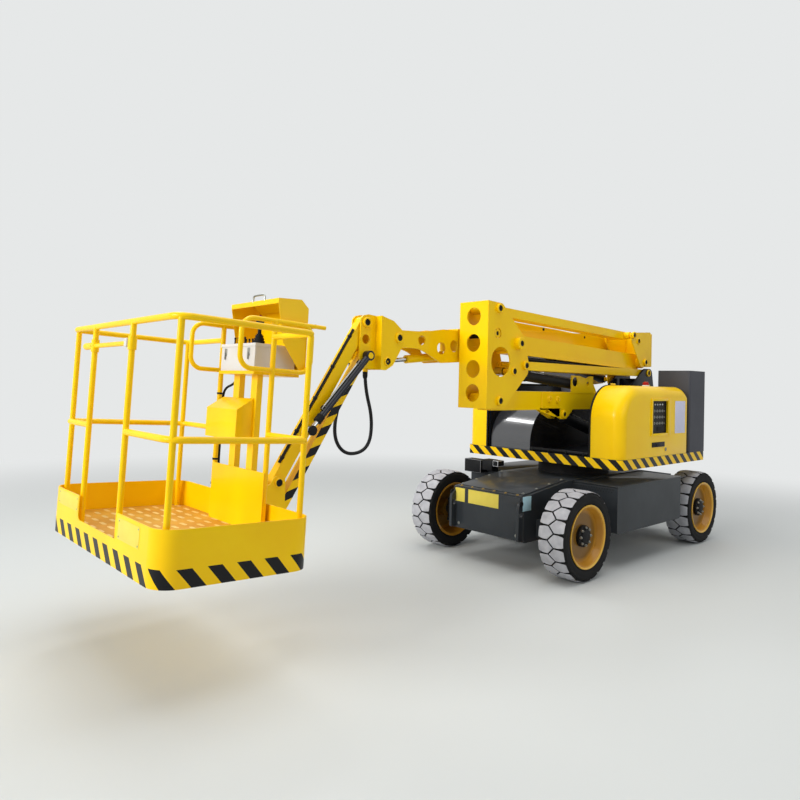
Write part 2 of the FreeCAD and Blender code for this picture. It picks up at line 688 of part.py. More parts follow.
rear_parts = [plate("rear_riser_" + name, "y", (low, high), corners)
              for name, low, high, corners in rear_plates]
rear_parts.append(block("rear_riser_back", (arm_rear.x - 141, arm_rear.x - 129),
                        (boom_outer - 12, tower_left), (arm_rear.z - 40, boom_pivot.z + 100)))
rear_parts.append(bar("rear_pin_top", "y", "pin_radius", (tower_right - 3, tower_left + 3),
                      (top_rear.x, top_rear.z)))
rear_parts.append(bar("rear_pin_arm", "y", "pin_radius", (tower_right - 3, tower_left + 3),
                      (arm_rear.x, arm_rear.z)))
rear_parts.append(bar("rear_pin_boom", "y", "pin_radius", (boom_outer - 15, -25),
                      (boom_pivot.x, boom_pivot.z)))
rear_parts.append(bar("rear_pin_foot", "y", "pin_radius", (boom_outer - 15, -25), (boom_foot.x, boom_foot.z)))
finish(joined("rear_riser_whole", *rear_parts), "rear_riser")


# Main boom, extension and jib bracket

boom_body = joined("boom_body",
                   block("boom_tube", (60, boom_reach), ("-boom_half", "boom_half"),
                         ("-boom_height / 2", "boom_height / 2")),
                   bar("boom_boss", "y", 85, ("-boom_half", "boom_half"), (0, 0)))
boom_lug = Vector(900, 0, -160)
boom_lugs = []
for side, sign in SIDES:
    boom_lugs.append(plate("boom_lug_" + side, "y", on_side(sign, 40, 54), (
        (boom_lug.x - 90, -90), (boom_lug.x - 90, -98), (boom_lug.x - 36, boom_lug.z - 36, 32),
        (boom_lug.x + 36, boom_lug.z - 36, 32), (boom_lug.x + 90, -98), (boom_lug.x + 90, -90))))
boom_open = cut("boom_open", boom_body,
                block("boom_inside", (150, boom_reach + 5),
                      ("-boom_half + boom_wall", "boom_half - boom_wall"),
                      ("-boom_height / 2 + boom_wall", "boom_height / 2 - boom_wall")),
                bar("boom_bore", "y", "pin_radius + running_gap", ("-boom_half - 2", "boom_half + 2"),
                    (0, 0)))
pads = []
pad_reach = (boom_reach - 90, boom_reach - 10)
for side, sign in SIDES:
    pads.append(block("side_pad_" + side, pad_reach,
                      on_side(sign, "inner_half + running_gap", "boom_half - boom_wall + 1"), (-50, 50)))
    pads.append(block("flat_pad_" + side, pad_reach, (-45, 45),
                      on_side(sign, "inner_height / 2 + running_gap", "boom_height / 2 - boom_wall + 1")))
finish(at_side(joined("main_boom_all", boom_open, *pads, *boom_lugs), boom_pivot, -size.boom_side, boom_tilt),
       "main_boom")


head_corners = around(
    nose_pin, (-681, 105), (-685, -151), (-468, -167, 30), (-237, -67, 300), (-55, -67), (43, -63, 50),
    (43, 61, 50), (-55, 61), (-277, 67, 60), (-487, 100, 60))
head_holes = around(nose_pin, (-253, 0, 38), (-469, -50, 48), (-617, -25, 48),
                    (0, 0, size.pin_radius + size.running_gap))
head_parts = []
for side, sign in SIDES:
    head_parts.append(plate("head_cheek_" + side, "y",
                            beside("-boom_side", sign, "head_half - plate_gauge", "head_half"),
                            head_corners, head_holes))
head_parts.append(block("head_root", (nose_pin.x - 757, nose_pin.x - 657),
                        ("-boom_side - head_half", "-boom_side + head_half"),
                        (nose_pin.z - 63, nose_pin.z + 117)))
head_parts.append(block("head_web", (nose_pin.x - 667, nose_pin.x - 77),
                        ("-boom_side - head_half + 4", "-boom_side + head_half - 4"),
                        (nose_pin.z + 33, nose_pin.z + 49)))
head_parts.append(cut("nose_tube", bar("nose_outside", "y", 42,
                                       ("-boom_side - head_half", "-boom_side + head_half"),
                                       (nose_pin.x, nose_pin.z)),
                      bar("nose_inside", "y", "pin_radius + running_gap",
                          ("-boom_side - head_half - 2", "-boom_side + head_half + 2"),
                          (nose_pin.x, nose_pin.z))))
inner_tube = cut("inner_tube", block("inner_outside", (300, boom_reach + 150), ("-inner_half", "inner_half"),
                                     ("-inner_height / 2", "inner_height / 2")),
                 block("inner_inside", (290, boom_reach + 110), ("-inner_half + 6", "inner_half - 6"),
                       ("-inner_height / 2 + 6", "inner_height / 2 - 6")))
at_side(inner_tube, boom_pivot, -size.boom_side, boom_tilt)
head_parts.append(inner_tube)
level_foot = nose_pin + Vector(-537, 0, -110)
level_pin = nose_pin + Vector(108, 0, -179)
level_run = level_pin - level_foot
level_tilt = math.degrees(math.atan2(-level_run.z, level_run.x))
level_barrel = cut("level_barrel", bar("level_outside", "x", 32, (-40, 360), (0, 0)),
                   bar("level_bore", "x", 17.3, (40, 365), (0, 0)))
at_side(level_barrel, level_foot, -size.boom_side, level_tilt)
head_parts.append(level_barrel)
head_parts.append(block("level_seat", (level_foot.x - 40, level_foot.x + 10),
                        ("-boom_side - head_half + 4", "-boom_side + head_half - 4"),
                        (level_foot.z - 13, level_foot.z + 13)))
finish(joined("extension_whole", *head_parts), "boom_extension")

step = jib_top.x - 88
wide = (
    *around(nose_pin, (-55, -35, 20), (-37, 55, 30), (53, 120, 30)), *around(jib_top, (-88, 53)),
    *around(jib_low, (-88, -98), (-136, -100, 20)), *around(level_pin, (-53, -26, 30)))
narrow = (
    *around(jib_top, (-98, 53), (-16, 60, 40), (52, 43, 45)),
    *around(jib_low, (60, -12, 40), (36, -90, 30), (-98, -94)))
bracket_parts = []
for side, sign in SIDES:
    bracket_parts.append(plate("bracket_wide_" + side, "y",
                               beside("-boom_side", sign, "head_half + 5", "head_half + 5 + plate_gauge"),
                               wide))
    bracket_parts.append(plate("bracket_narrow_" + side, "y", beside("-boom_side", sign, 41, 53), narrow,
                               ((jib_low.x + 4, jib_low.z + 120, 34),)))
bracket_parts.append(block("bracket_step", (step - 12, step),
                           ("-boom_side - head_half - 17", "-boom_side + head_half + 17"),
                           (jib_low.z - 98, jib_top.z + 53)))
side_reach = size.head_half + 5 + size.plate_gauge + 3
bracket_parts.append(bar("bracket_pin_nose", "y", "pin_radius",
                         (-size.boom_side - side_reach, -size.boom_side + side_reach),
                         (nose_pin.x, nose_pin.z)))
bracket_parts.append(bar("bracket_pin_level_left", "y", "pin_radius",
                         (-size.boom_side + 28, -size.boom_side + side_reach),
                         (level_pin.x, level_pin.z)))
bracket_parts.append(bar("bracket_pin_level_right", "y", "pin_radius",
                         (-size.boom_side - side_reach, -size.boom_side - 28),
                         (level_pin.x, level_pin.z)))
bracket_parts.append(bar("bracket_pin_top", "y", "pin_radius", (-size.boom_side - 56, -size.boom_side + 56),
                         (jib_top.x, jib_top.z)))
bracket_parts.append(bar("bracket_pin_low", "y", "pin_radius", (-size.boom_side - 56, -size.boom_side + 112),
                         (jib_low.x, jib_low.z)))
# Two glands hold the ends of the hose that hangs beside the jib.
hose_side, hose_radius, hose_bend = -210, 13.5, 135
hose_start = Vector(jib_low.x - 106, hose_side, jib_low.z - 112)
hose_end = Vector(jib_low.x + 29, hose_side, jib_low.z - 52)
bracket_parts.append(bar("hose_gland_rear", "z", 20, (hose_start.z, hose_start.z + 20),
                         (hose_start.x, hose_side)))
bracket_parts.append(block("hose_gland_front", (hose_end.x - 20, hose_end.x + 20),
                           (hose_side - 18, hose_side + 30),
                           (hose_end.z, hose_end.z + 30)))
finish(joined("bracket_whole", *bracket_parts), "jib_bracket")
hose_route = [Vector(hose_start)]
for ahead, level in ((2470, 1470), (2385, 1220), (2420, 1000), (2640, 965), (2760, 1120), (2690, 1420),
                     (2605, 1500)):
    hose_route.append(Vector(ahead, hose_side, level))
hose_route.append(hose_end)
finish(tube("jib_hose_tube", hose_route, hose_bend, hose_radius), "jib_hose")


# Jib

jib_upper = straight_arm("jib_upper", jib_top, Vector(size.jib_length, 0, 0), size.jib_half,
                         size.jib_upper_height, 6,
                         39, size.jib_upper_height / 2)
jib_lug = plate("jib_lug", "y", (34, 46), ((840, -30), (960, -30), (930, 30, 28), (870, 30, 28)))
finish(at_side(joined("jib_upper_all", jib_upper, jib_lug), jib_top, -size.boom_side, size.jib_slope),
       "jib_upper_bar")
jib_lower = straight_arm("jib_lower", jib_low, Vector(size.jib_length, 0, 0), size.jib_half,
                         size.jib_lower_height, 6,
                         39, 36)
finish(at_side(jib_lower, jib_low, -size.boom_side, size.jib_slope), "jib_lower_bar")

end_face = jib_end_low.x + 113
end_corners = (
    *around(jib_end_top, (-50, 17, 30), (15, 57, 40), (60, -3)), (end_face, jib_end_top.z - 28),
    *around(jib_end_low, (113, -33), (55, -47, 20), (-13, -51, 20), (-50, 37)))
end_parts = [plate("jib_end_" + side, "y", beside("-boom_side", sign, 42, 54), end_corners)
             for side, sign in SIDES]
for name, pin in (("top", jib_end_top), ("low", jib_end_low)):
    end_parts.append(bar("jib_end_pin_" + name, "y", "pin_radius",
                         (-size.boom_side - 57, -size.boom_side + 57), (pin.x, pin.z)))
end_parts.append(block("jib_end_face", (end_face - 12, end_face),
                       (-size.boom_side - 54, -size.boom_side + 54),
                       (jib_end_low.z - 3, jib_end_top.z - 53)))


# Platform, drawn level and then tilted with its front edge up

def tilt_with_basket(item):
    return placed(item, Vector(basket_middle, 0, basket_level), -size.basket_tilt)


def on_basket(item, label):
    return finish(tilt_with_basket(item), label)


half_long = size.basket_length / 2
seat_gap = size.running_gap
turn_x = -size.basket_reach
turn_low, turn_high, turn_gauge = 18, 262, 18
turn_half = size.turn_barrel_radius
turn_solid = joined(
    "turn_solid",
    bar("turn_outside", "z", "turn_barrel_radius", (turn_low + seat_gap, turn_high - seat_gap),
        (turn_x, "-boom_side")),
    block("jib_end_neck", (turn_x - 88, turn_x), (-size.boom_side - 45, -size.boom_side + 45), (40, 240)))
turn_barrel = cut("turn_barrel", turn_solid, bar("turn_bore", "z", "pin_radius + running_gap",
                                                 (turn_low - 5, turn_high + 5), (turn_x, "-boom_side")))
end_parts.append(tilt_with_basket(turn_barrel))
finish(joined("jib_end_whole", *end_parts), "jib_end")
fork = []
for name, low, high in (("low", 0, turn_low), ("top", turn_high, turn_high + turn_gauge)):
    fork.append(plate("turn_plate_" + name, "z", (low, high), (
        (turn_x - turn_half, -size.boom_side - turn_half, turn_half - 1),
        (-half_long - 8, -size.boom_side - turn_half),
        (-half_long - 8, -size.boom_side + turn_half),
        (turn_x - turn_half, -size.boom_side + turn_half, turn_half - 1))))
fork.append(bar("turn_pin", "z", "pin_radius", (0, turn_high + turn_gauge + 4), (turn_x, "-boom_side")))
fork.append(block("support_panel", (-half_long - 10, -half_long - seat_gap), (-260, 200),
                  (0, turn_high + turn_gauge)))
on_basket(joined("support_whole", *fork), "platform_support")


def tray_outline(inset):
    """The tray's plan, moved in by the inset."""
    long, wide, corner = half_long - inset, size.basket_half - inset, size.basket_corner - inset
    return (-long, -wide, corner), (long, -wide, corner), (long, wide, corner), (-long, wide, corner)


tray = plate("tray", "z", (0, "toe_height"), tray_outline(0))
pocket(tray, "tray_hollow", "z", ("floor_height", "toe_height + 1"), tray_outline(size.toe_gauge))
pocket(tray, "tray_belly", "z", (-1, "floor_height - toe_gauge"), tray_outline(size.toe_gauge))
sill = size.floor_height + size.sill_height
pocket(tray, "tray_entry", "x", (200, "basket_length"),
       ((-296, sill, 20), (285, sill, 20), (285, 400), (-296, 400)))
on_basket(tray, "platform_tray")

# Guard rails: a top rail in one piece, middle rails, posts, and a loop on each side of the controls
rail_x = half_long - size.rail_inset
rail_y = size.basket_half - size.rail_inset
ENTRY = {"left": 217, "right": -345}
STAND = {"left": 339, "right": -267}
rails = [tube("top_rail", (
    (-rail_x, STAND["right"], size.rail_top), (-rail_x, -rail_y, size.rail_top), (rail_x, -rail_y, size.rail_top),
    (rail_x, rail_y, size.rail_top), (-rail_x, rail_y, size.rail_top), (-rail_x, STAND["left"], size.rail_top)),
    size.rail_bend, size.rail_radius)]
corner_in = size.rail_bend * (1 - math.sqrt(0.5))
loop_front, loop_back, tail_end, back_bar = -162, -624, -715, -640
for side, sign in SIDES:
    rails.append(tube("middle_rail_" + side, (
        (rail_x, ENTRY[side], size.rail_middle), (rail_x, sign * rail_y, size.rail_middle),
        (-rail_x, sign * rail_y, size.rail_middle), (-rail_x, STAND[side], size.rail_middle)),
        size.rail_bend, size.rail_radius))
    rails.append(tube("guard_loop_" + side, [(x, STAND[side], z) for x, z in (
        (-rail_x, size.guard_top), (loop_front, size.guard_top), (loop_front, size.guard_low),
        (loop_back, size.guard_low), (loop_back, size.guard_top), (-rail_x, size.guard_top))],
        size.rail_bend, size.guard_radius))
    rails.append(bar("guard_tail_" + side, "x", "guard_radius - 1.5",
                     (tail_end, loop_back + size.rail_bend + 9),
                     (STAND[side], "guard_top")))
    posts = (
        ("front", rail_x - corner_in, sign * (rail_y - corner_in), "rail_top"),
        ("rear", -rail_x + corner_in, sign * (rail_y - corner_in), "rail_top"),
        ("entry", rail_x, ENTRY[side], "rail_top"), ("stand", -rail_x, STAND[side], "guard_top"))
    for name, x, y, top in posts:
        rails.append(bar(f"post_{name}_{side}", "z", "post_radius", (f"floor_height + {seat_gap}", top),
                         (x, y)))
rails.append(bar("guard_back", "y", "guard_radius - 0.5", (STAND["right"] - 8, STAND["left"] + 8),
                 (back_bar, "guard_top")))
rails.append(block("stand_sheet", (-rail_x + 12, -rail_x + 17), (STAND["right"], STAND["left"] + 13),
                   ("floor_height + 1", 437)))
on_basket(joined("rails_whole", *rails), "platform_rails")

# The entry bar slides up and down on two sleeves round the posts beside the gap.
entry_level = size.rail_top - 108
entry_bar_radius, entry_stub_radius, sleeve_half, sleeve_wall = 13, 20, 35, 6
entry_parts = [
    bar("entry_tube", "y", entry_bar_radius,
        (ENTRY["right"] + size.post_radius + 2, ENTRY["left"] - size.post_radius - 2),
        (rail_x, entry_level)),
    bar("entry_stub", "y", entry_stub_radius, (ENTRY["right"] - 150, ENTRY["right"] - size.post_radius - 2),
        (rail_x, entry_level))]
for side, place in ENTRY.items():
    entry_parts.append(cut("entry_sleeve_" + side,
                           bar("entry_sleeve_out_" + side, "z", f"post_radius + {sleeve_wall}",
                               (entry_level - sleeve_half, entry_level + sleeve_half), (rail_x, place)),
                           bar("entry_sleeve_in_" + side, "z", "post_radius + running_gap",
                               (entry_level - sleeve_half - 5, entry_level + sleeve_half + 5),
                               (rail_x, place))))
on_basket(joined("entry_bar_whole", *entry_parts), "entry_bar")

# The operator's controls: a stand of two posts and a shelf, the box with its lid, and the cover behind it
shelf_low, shelf_top = 986, 1005
stand_back, stand_front = -half_long + size.toe_gauge + seat_gap, -364
stand_posts = [block(f"stand_post_{index}", (stand_back, stand_front), span,
                     (size.floor_height + seat_gap, shelf_low + 4))
               for index, span in enumerate(((-82, -11), (127, 195)))]
shelf = block("stand_shelf", (-608, -303), (-167, 252), (shelf_low, shelf_top))
on_basket(joined("stand_whole", *stand_posts, shelf), "control_stand")
on_basket(joined("control_box_whole",
                 block("control_box_body", (-576, -307), (-151, 247), (shelf_top + seat_gap, 1150)),
                 block("control_box_lid", (-580, -303), (-155, 251), (1147, 1165))), "control_box")
cover = plate("control_cover_body", "y", (-238, 318), (
    (-396, 1407), (-396, 1430), (-552, 1442), (-604, 1395), (-606, shelf_top + seat_gap),
    (-580, shelf_top + seat_gap),
    (-562, 1022), (-442, 1180)))
pocket(cover, "control_cover_hollow", "y", (-234, 314), (
    (-400, 1426), (-400, 1400), (-300, 1400), (-300, 1000), (-602, 1000), (-600, 1393), (-551, 1438)))
on_basket(cover, "control_cover")
on_basket(plate("document_box_body", "y", (-199, 172), (
    (stand_front + seat_gap, 606), (-258, 606), (-258, 779), (stand_front + seat_gap, 847))), "document_box")


# Cylinders: a barrel with its eye on one pin, and a rod whose eye meets the other

def hydraulic(name, start, end, side, barrel_radius, rod_radius, eye_half, gland_back=75, tail=70):
    """Barrel and rod between two pins; the rod starts at tail, the barrel ends gland_back early."""
    run = end - start
    length = run.Length
    tilt = math.degrees(math.atan2(-run.z, run.x))
    gland = length - gland_back
    eye = cut(name + "_eye", joined(name + "_foot",
                                    bar(name + "_eye_boss", "y", 36, (-eye_half, eye_half), (0, 0)),
                                    bar(name + "_case", "x", barrel_radius, (25, gland), (0, 0))),
              bar(name + "_eye_bore", "y", "pin_radius + running_gap", (-eye_half - 2, eye_half + 2), (0, 0)),
              bar(name + "_case_bore", "x", rod_radius + 0.3, (60, gland + 2), (0, 0)))
    finish(at_side(eye, start, side, tilt), name + "_cylinder")
    rod_eye = cut(name + "_rod_eye", joined(name + "_rod_piece",
                                            bar(name + "_rod_bar", "x", rod_radius, (tail, length - 25),
                                                (0, 0)),
                                            bar(name + "_rod_boss", "y", 34, (-eye_half, eye_half),
                                                (length, 0))),
                  bar(name + "_rod_hole", "y", "pin_radius + 6", (-eye_half - 2, eye_half + 2), (length, 0)))
    finish(at_side(rod_eye, start, side, tilt), name + "_rod")


def tilted(offset, about_y):
    """An offset turned about Y, positive lowering the front."""
    return Rotation(Vector(0, 1, 0), about_y).multVec(offset)


hydraulic("tower", tower_foot, low_front + lift_lug, size.tower_side, 50, 30, 48)
hydraulic("riser", low_front + riser_lug, riser_eye, size.tower_side, 44, 24, 42, gland_back=290)
hydraulic("boom", boom_foot, boom_pivot + tilted(boom_lug, boom_tilt), -size.boom_side, 42, 26, 34)
hydraulic("jib", jib_low, jib_top + tilted(Vector(900, 0, 0), size.jib_slope), -size.boom_side + 84, 25, 16,
          24, tail=130)

level_rod = cut("level_rod_eye", joined("level_rod_piece",
                                        bar("level_rod_bar", "x", 17, (330, level_run.Length - 25), (0, 0)),
                                        bar("level_rod_boss", "y", 34, (-25, 25), (level_run.Length, 0))),
                bar("level_rod_hole", "y", "pin_radius + 6", (-27, 27), (level_run.Length, 0)))
finish(at_side(level_rod, level_foot, -size.boom_side, level_tilt), "levelling_rod")


# Check every object, then write one file for each sub-part

doc.recompute()
for item in doc.Objects:
    if {"Invalid", "Error"} & set(item.State):
        raise RuntimeError(f"{item.Label} failed: {item.State}")
os.makedirs("parts", exist_ok=True)
for item in finished:
    shape = item.Shape
    if shape.isNull() or not shape.isValid():
        raise RuntimeError(f"{item.Label} has no valid shape")
    shape.exportStep(f"parts/{item.Label}.step")
    print(f"{item.Label}: {len(shape.Solids)} solids, {shape.Volume / 1e6:.2f} litres")
print(len(finished), "sub-parts")
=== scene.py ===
# %% [markdown]
# An articulating boom lift: a wheeled chassis, a slewing turntable, a riser tower made of two
# parallelograms, a telescopic boom, a short jib and a work platform. All of it could be drawn
# afresh in Blender, but a part that turns on a pin has to stay where the pin is. So the measured
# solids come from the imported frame, and this lesson dresses them with paint, rubber, tread,
# stripes and fittings.

# %% Load the frame
import math
import bmesh
import bpy
from mathutils import Matrix, Vector


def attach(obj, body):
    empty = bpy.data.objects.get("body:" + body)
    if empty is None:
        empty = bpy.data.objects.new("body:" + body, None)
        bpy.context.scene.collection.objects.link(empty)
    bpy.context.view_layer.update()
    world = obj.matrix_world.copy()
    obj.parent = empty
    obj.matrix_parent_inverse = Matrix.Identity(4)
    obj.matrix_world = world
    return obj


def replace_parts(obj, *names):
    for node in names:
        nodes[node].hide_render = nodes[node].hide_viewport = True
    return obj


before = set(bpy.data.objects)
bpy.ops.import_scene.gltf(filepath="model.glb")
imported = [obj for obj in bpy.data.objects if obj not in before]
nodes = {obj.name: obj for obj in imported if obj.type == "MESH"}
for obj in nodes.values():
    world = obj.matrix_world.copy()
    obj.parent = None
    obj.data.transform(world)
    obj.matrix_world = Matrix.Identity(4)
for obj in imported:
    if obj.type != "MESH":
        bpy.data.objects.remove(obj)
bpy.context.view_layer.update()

# %% [markdown]
# The camera stands where the photographer stood: at eye height, ahead of the platform and to the
# machine's left. A camera could be moved by eye until the picture looks right. Here its place,
# angles and focal length were solved instead, so that the wheels, the platform's corners and the
# tower's pins fall where the photograph has them, and every later piece can be compared.

# %% The camera
CAMERA_PLACE = Vector((5.5501, 3.5326, 1.4917))
CAMERA_TURN = math.radians(137.488)
CAMERA_LIFT = math.radians(1.049)
CAMERA_ROLL = math.radians(1.383)
FOCAL_PIXELS = 651.99
PHOTO_SIZE = 800
CENTRE_ROW = 372.6
SENSOR_WIDTH = 36
FAR_CLIP = 100


def make_camera():
    """A camera with its axes built from its turn, lift and roll."""
    ahead = Vector((-math.sin(CAMERA_TURN) * math.cos(CAMERA_LIFT),
                    math.cos(CAMERA_TURN) * math.cos(CAMERA_LIFT), math.sin(CAMERA_LIFT)))
    level = Vector((math.cos(CAMERA_TURN), math.sin(CAMERA_TURN), 0))
    upward = level.cross(ahead)
    right = math.cos(CAMERA_ROLL) * level + math.sin(CAMERA_ROLL) * upward
    top = -math.sin(CAMERA_ROLL) * level + math.cos(CAMERA_ROLL) * upward
    data = bpy.data.cameras.new("camera")
    data.sensor_width = SENSOR_WIDTH
    data.lens = FOCAL_PIXELS * SENSOR_WIDTH / PHOTO_SIZE
    data.shift_y = (CENTRE_ROW - PHOTO_SIZE / 2) / PHOTO_SIZE
    data.clip_end = FAR_CLIP
    camera = bpy.data.objects.new("camera", data)
    turned = Matrix((right, top, -ahead)).transposed().to_4x4()
    camera.matrix_world = Matrix.Translation(CAMERA_PLACE) @ turned
    bpy.context.collection.objects.link(camera)
    bpy.context.scene.camera = camera
    return camera


print("camera lens", round(make_camera().data.lens, 1), "mm, eye height", CAMERA_PLACE.z, "m")

# %% [markdown]
# Every finish starts from two small tools: one function that turns an sRGB hex value into
# Blender's linear colour, and one that adds a node with its settings, its values and its links.
# Trees can also be wired by hand in the editor, but a tree that is written down can be read,
# repeated and changed. The second tool serves shaders and Geometry Nodes alike.

# %% Tools for node trees
METAL_SPECULAR, PAINT_SPECULAR = 0.5, 0.14
COAT_ROUGHNESS = 0.06


def linear(hex_value):
    """A colour written as sRGB hex, as Blender's linear red, green, blue and alpha."""
    channels = [int(hex_value[i:i + 2], 16) / 255 for i in (0, 2, 4)]
    return tuple(c / 12.92 if c <= 0.04045 else ((c + 0.055) / 1.055) ** 2.4 for c in channels) + (1,)


def add(tree, kind, links=None, values=None, **settings):
    """One node: settings by name, values and links by socket name or number; gives its outputs."""
    node = tree.nodes.new(kind)
    for name, value in settings.items():
        setattr(node, name, value)
    for socket, value in (values or {}).items():
        node.inputs[socket].default_value = value
    for socket, output in (links or {}).items():
        tree.links.new(output, node.inputs[socket])
    return node.outputs


def start_material(name, roughness=0.4, metallic=0.0, coat=0.0):
    """A material with its tree, its shader's inputs and the object coordinates its patterns read."""
    material = bpy.data.materials.new(name)
    material.use_nodes = True
    tree = material.node_tree
    shader = tree.nodes["Principled BSDF"].inputs
    specular = METAL_SPECULAR if metallic > 0.5 else PAINT_SPECULAR
    for socket, value in (("Roughness", roughness), ("Metallic", metallic), ("Coat Weight", coat),
                          ("Specular IOR Level", specular), ("Coat Roughness", COAT_ROUGHNESS)):
        shader[socket].default_value = value
    return material, tree, shader, add(tree, "ShaderNodeTexCoord")["Object"]


print("mid grey 808080 as linear:", round(linear("808080")[0], 3))

# %% [markdown]
# Sprayed enamel on steel is nearly even in colour. The eye reads it from three small things: a
# slow drift in tone over tens of centimetres, a fine orange peel in the reflections, and edges
# that catch the light because paint flows round them. A painted picture could show these, but
# it would need each part unfolded, so noise on the object's own coordinates draws them. The peel
# is really 1 to 2 mm wide; it is drawn at 4 mm, the finest that shows. The Bevel node rounds
# each edge by 3 mm in the shading only, and where the rounded and the true normal part, the edge
# is drawn in a lighter colour in patches: partly wear, and partly a painted highlight along the edge.

# %% Enamel
PEEL_SCALE, PEEL_DEPTH = 1 / 0.004, 0.002
DRIFT_SCALE, DRIFT_FROM, DRIFT_TO = 1 / 0.35, 0.35, 0.7
SPECK_SCALE = 60.0
EDGE_RADIUS = 0.003
# Where the edge colour, partly wear and partly a painted highlight, starts and is full.
EDGE_UNMARKED, EDGE_WEAR_AND_HIGHLIGHT_FULL = 0.995, 0.93


def enamel(name, hex_value, drift_hex, wear_and_highlight_hex, roughness=0.3, coat=0.12, peel=0.01, wear_and_highlight=0.5):
    """Sprayed paint in one colour; gives the material, its tree, shader, colour and coordinates."""
    material, tree, shader, place = start_material(name, roughness, coat=coat)
    drift = add(tree, "ShaderNodeTexNoise", {"Vector": place}, {"Scale": DRIFT_SCALE, "Detail": 4.0})["Fac"]
    level = add(tree, "ShaderNodeMapRange", {"Value": drift},
                {"From Min": DRIFT_FROM, "From Max": DRIFT_TO})["Result"]
    colour = add(tree, "ShaderNodeMix", {0: level}, {6: linear(hex_value), 7: linear(drift_hex)},
                 data_type="RGBA")[2]
    rounded = add(tree, "ShaderNodeBevel", values={"Radius": EDGE_RADIUS}, samples=4)["Normal"]
    true_normal = add(tree, "ShaderNodeNewGeometry")["Normal"]
    agree = add(tree, "ShaderNodeVectorMath", {0: rounded, 1: true_normal},
                operation="DOT_PRODUCT")["Value"]
    speck = add(tree, "ShaderNodeTexNoise", {"Vector": place}, {"Scale": SPECK_SCALE, "Detail": 3.0})["Fac"]
    edge = add(tree, "ShaderNodeMapRange", {"Value": agree},
               {"From Min": EDGE_UNMARKED, "From Max": EDGE_WEAR_AND_HIGHLIGHT_FULL})["Result"]
    patchy = add(tree, "ShaderNodeMath", {0: edge, 1: speck}, operation="MULTIPLY")[0]
    faint = add(tree, "ShaderNodeMath", {0: patchy}, {1: wear_and_highlight}, operation="MULTIPLY")[0]
    # The lighter edge colour is partly wear and partly a painted highlight.
    colour = add(tree, "ShaderNodeMix", {0: faint, 6: colour}, {7: linear(wear_and_highlight_hex)}, data_type="RGBA")[2]
    tree.links.new(colour, shader["Base Color"])
    skin = add(tree, "ShaderNodeTexNoise", {"Vector": place}, {"Scale": PEEL_SCALE, "Detail": 1.0})["Fac"]
    bump = add(tree, "ShaderNodeBump", {"Height": skin, "Normal": rounded},
               {"Strength": peel, "Distance": PEEL_DEPTH})
    tree.links.new(bump["Normal"], shader["Normal"])
    return material, tree, shader, colour, place


# The third colour of each paint is its edge colour: partly wear, partly a painted highlight.
YELLOW, YELLOW_DRIFT, YELLOW_WEAR_AND_HIGHLIGHT = "FFD304", "FBC802", "FFE860"
CHARCOAL, CHARCOAL_DRIFT, CHARCOAL_WEAR_AND_HIGHLIGHT = "2D3135", "383C40", "77736A"
yellow = enamel("enamel machine yellow", YELLOW, YELLOW_DRIFT, YELLOW_WEAR_AND_HIGHLIGHT)[0]
charcoal = enamel("enamel charcoal", CHARCOAL, CHARCOAL_DRIFT, CHARCOAL_WEAR_AND_HIGHLIGHT, 0.4, 0.15, 0.03, 0.9)[0]
navy = enamel("enamel blue black", "0E1220", "161B2C", "3A4256", 0.25, 0.4)[0]
light_grey = enamel("enamel light grey", "DAD9D6", "CFCDC8", "F0EFEC", 0.4, 0.2)[0]
wheel_lip = enamel("enamel wheel lip yellow", "EDBE4A", "DDA52E", "FFE08A", 0.3, 0.4, 0.02)[0]
battery_grey = enamel("enamel battery case grey", "4E4F55", "45464C", "6E6F75", 0.55, 0.0)[0]
print("yellow", YELLOW, "as linear", tuple(round(c, 3) for c in linear(YELLOW)))

# %% [markdown]
# The wheels are gold enamel at the rim. Towards the hub the disc is painted dark brown: this is
# painted shade, for the shade that falls in the wheel's dish. Two materials would meet in a hard
# line, so one material mixes the colour by the distance from the axle. All four axles lie at the
# same distance ahead or behind, so the place is folded to positive before it is measured, and one
# material serves every wheel.

# %% Wheel enamel
# Where the painted shade of the dish is full, where it ends, and its dark brown.
AXLE_PLACE = (1.042, 0, 0.350)
HUB_SHADE_FULL, HUB_SHADE_NONE = 0.170, 0.212
HUB_SHADE_HEX = "7D5A20"


def wheel_enamel():
    """Gold enamel with painted shade that darkens it towards the hub."""
    material, tree, shader, colour, place = enamel("enamel wheel gold", "D09630", "B47C22", "F0C060",
                                                   0.35, 0.3, 0.03, 0.8)
    folded = add(tree, "ShaderNodeVectorMath", {0: place}, operation="ABSOLUTE")[0]
    from_axle = add(tree, "ShaderNodeVectorMath", {0: folded}, {1: AXLE_PLACE}, operation="SUBTRACT")[0]
    in_wheel = add(tree, "ShaderNodeVectorMath", {0: from_axle}, {1: (1, 0, 1)}, operation="MULTIPLY")[0]
    reach = add(tree, "ShaderNodeVectorMath", {0: in_wheel}, operation="LENGTH")["Value"]
    hub_shade = add(tree, "ShaderNodeMapRange", {"Value": reach},
                {"From Min": HUB_SHADE_NONE, "From Max": HUB_SHADE_FULL})["Result"]
    # Painted shade: the colour is mixed towards dark brown near the axle, for the shade in the dish.
    colour = add(tree, "ShaderNodeMix", {0: hub_shade, 6: colour}, {7: linear(HUB_SHADE_HEX)}, data_type="RGBA")[2]
    tree.links.new(colour, shader["Base Color"])
    return material


wheel_gold = wheel_enamel()
# The fade printed here is that of the painted shade in the wheel's dish.
print("wheel dust fades from", HUB_SHADE_FULL, "to", HUB_SHADE_NONE, "m from the axle")

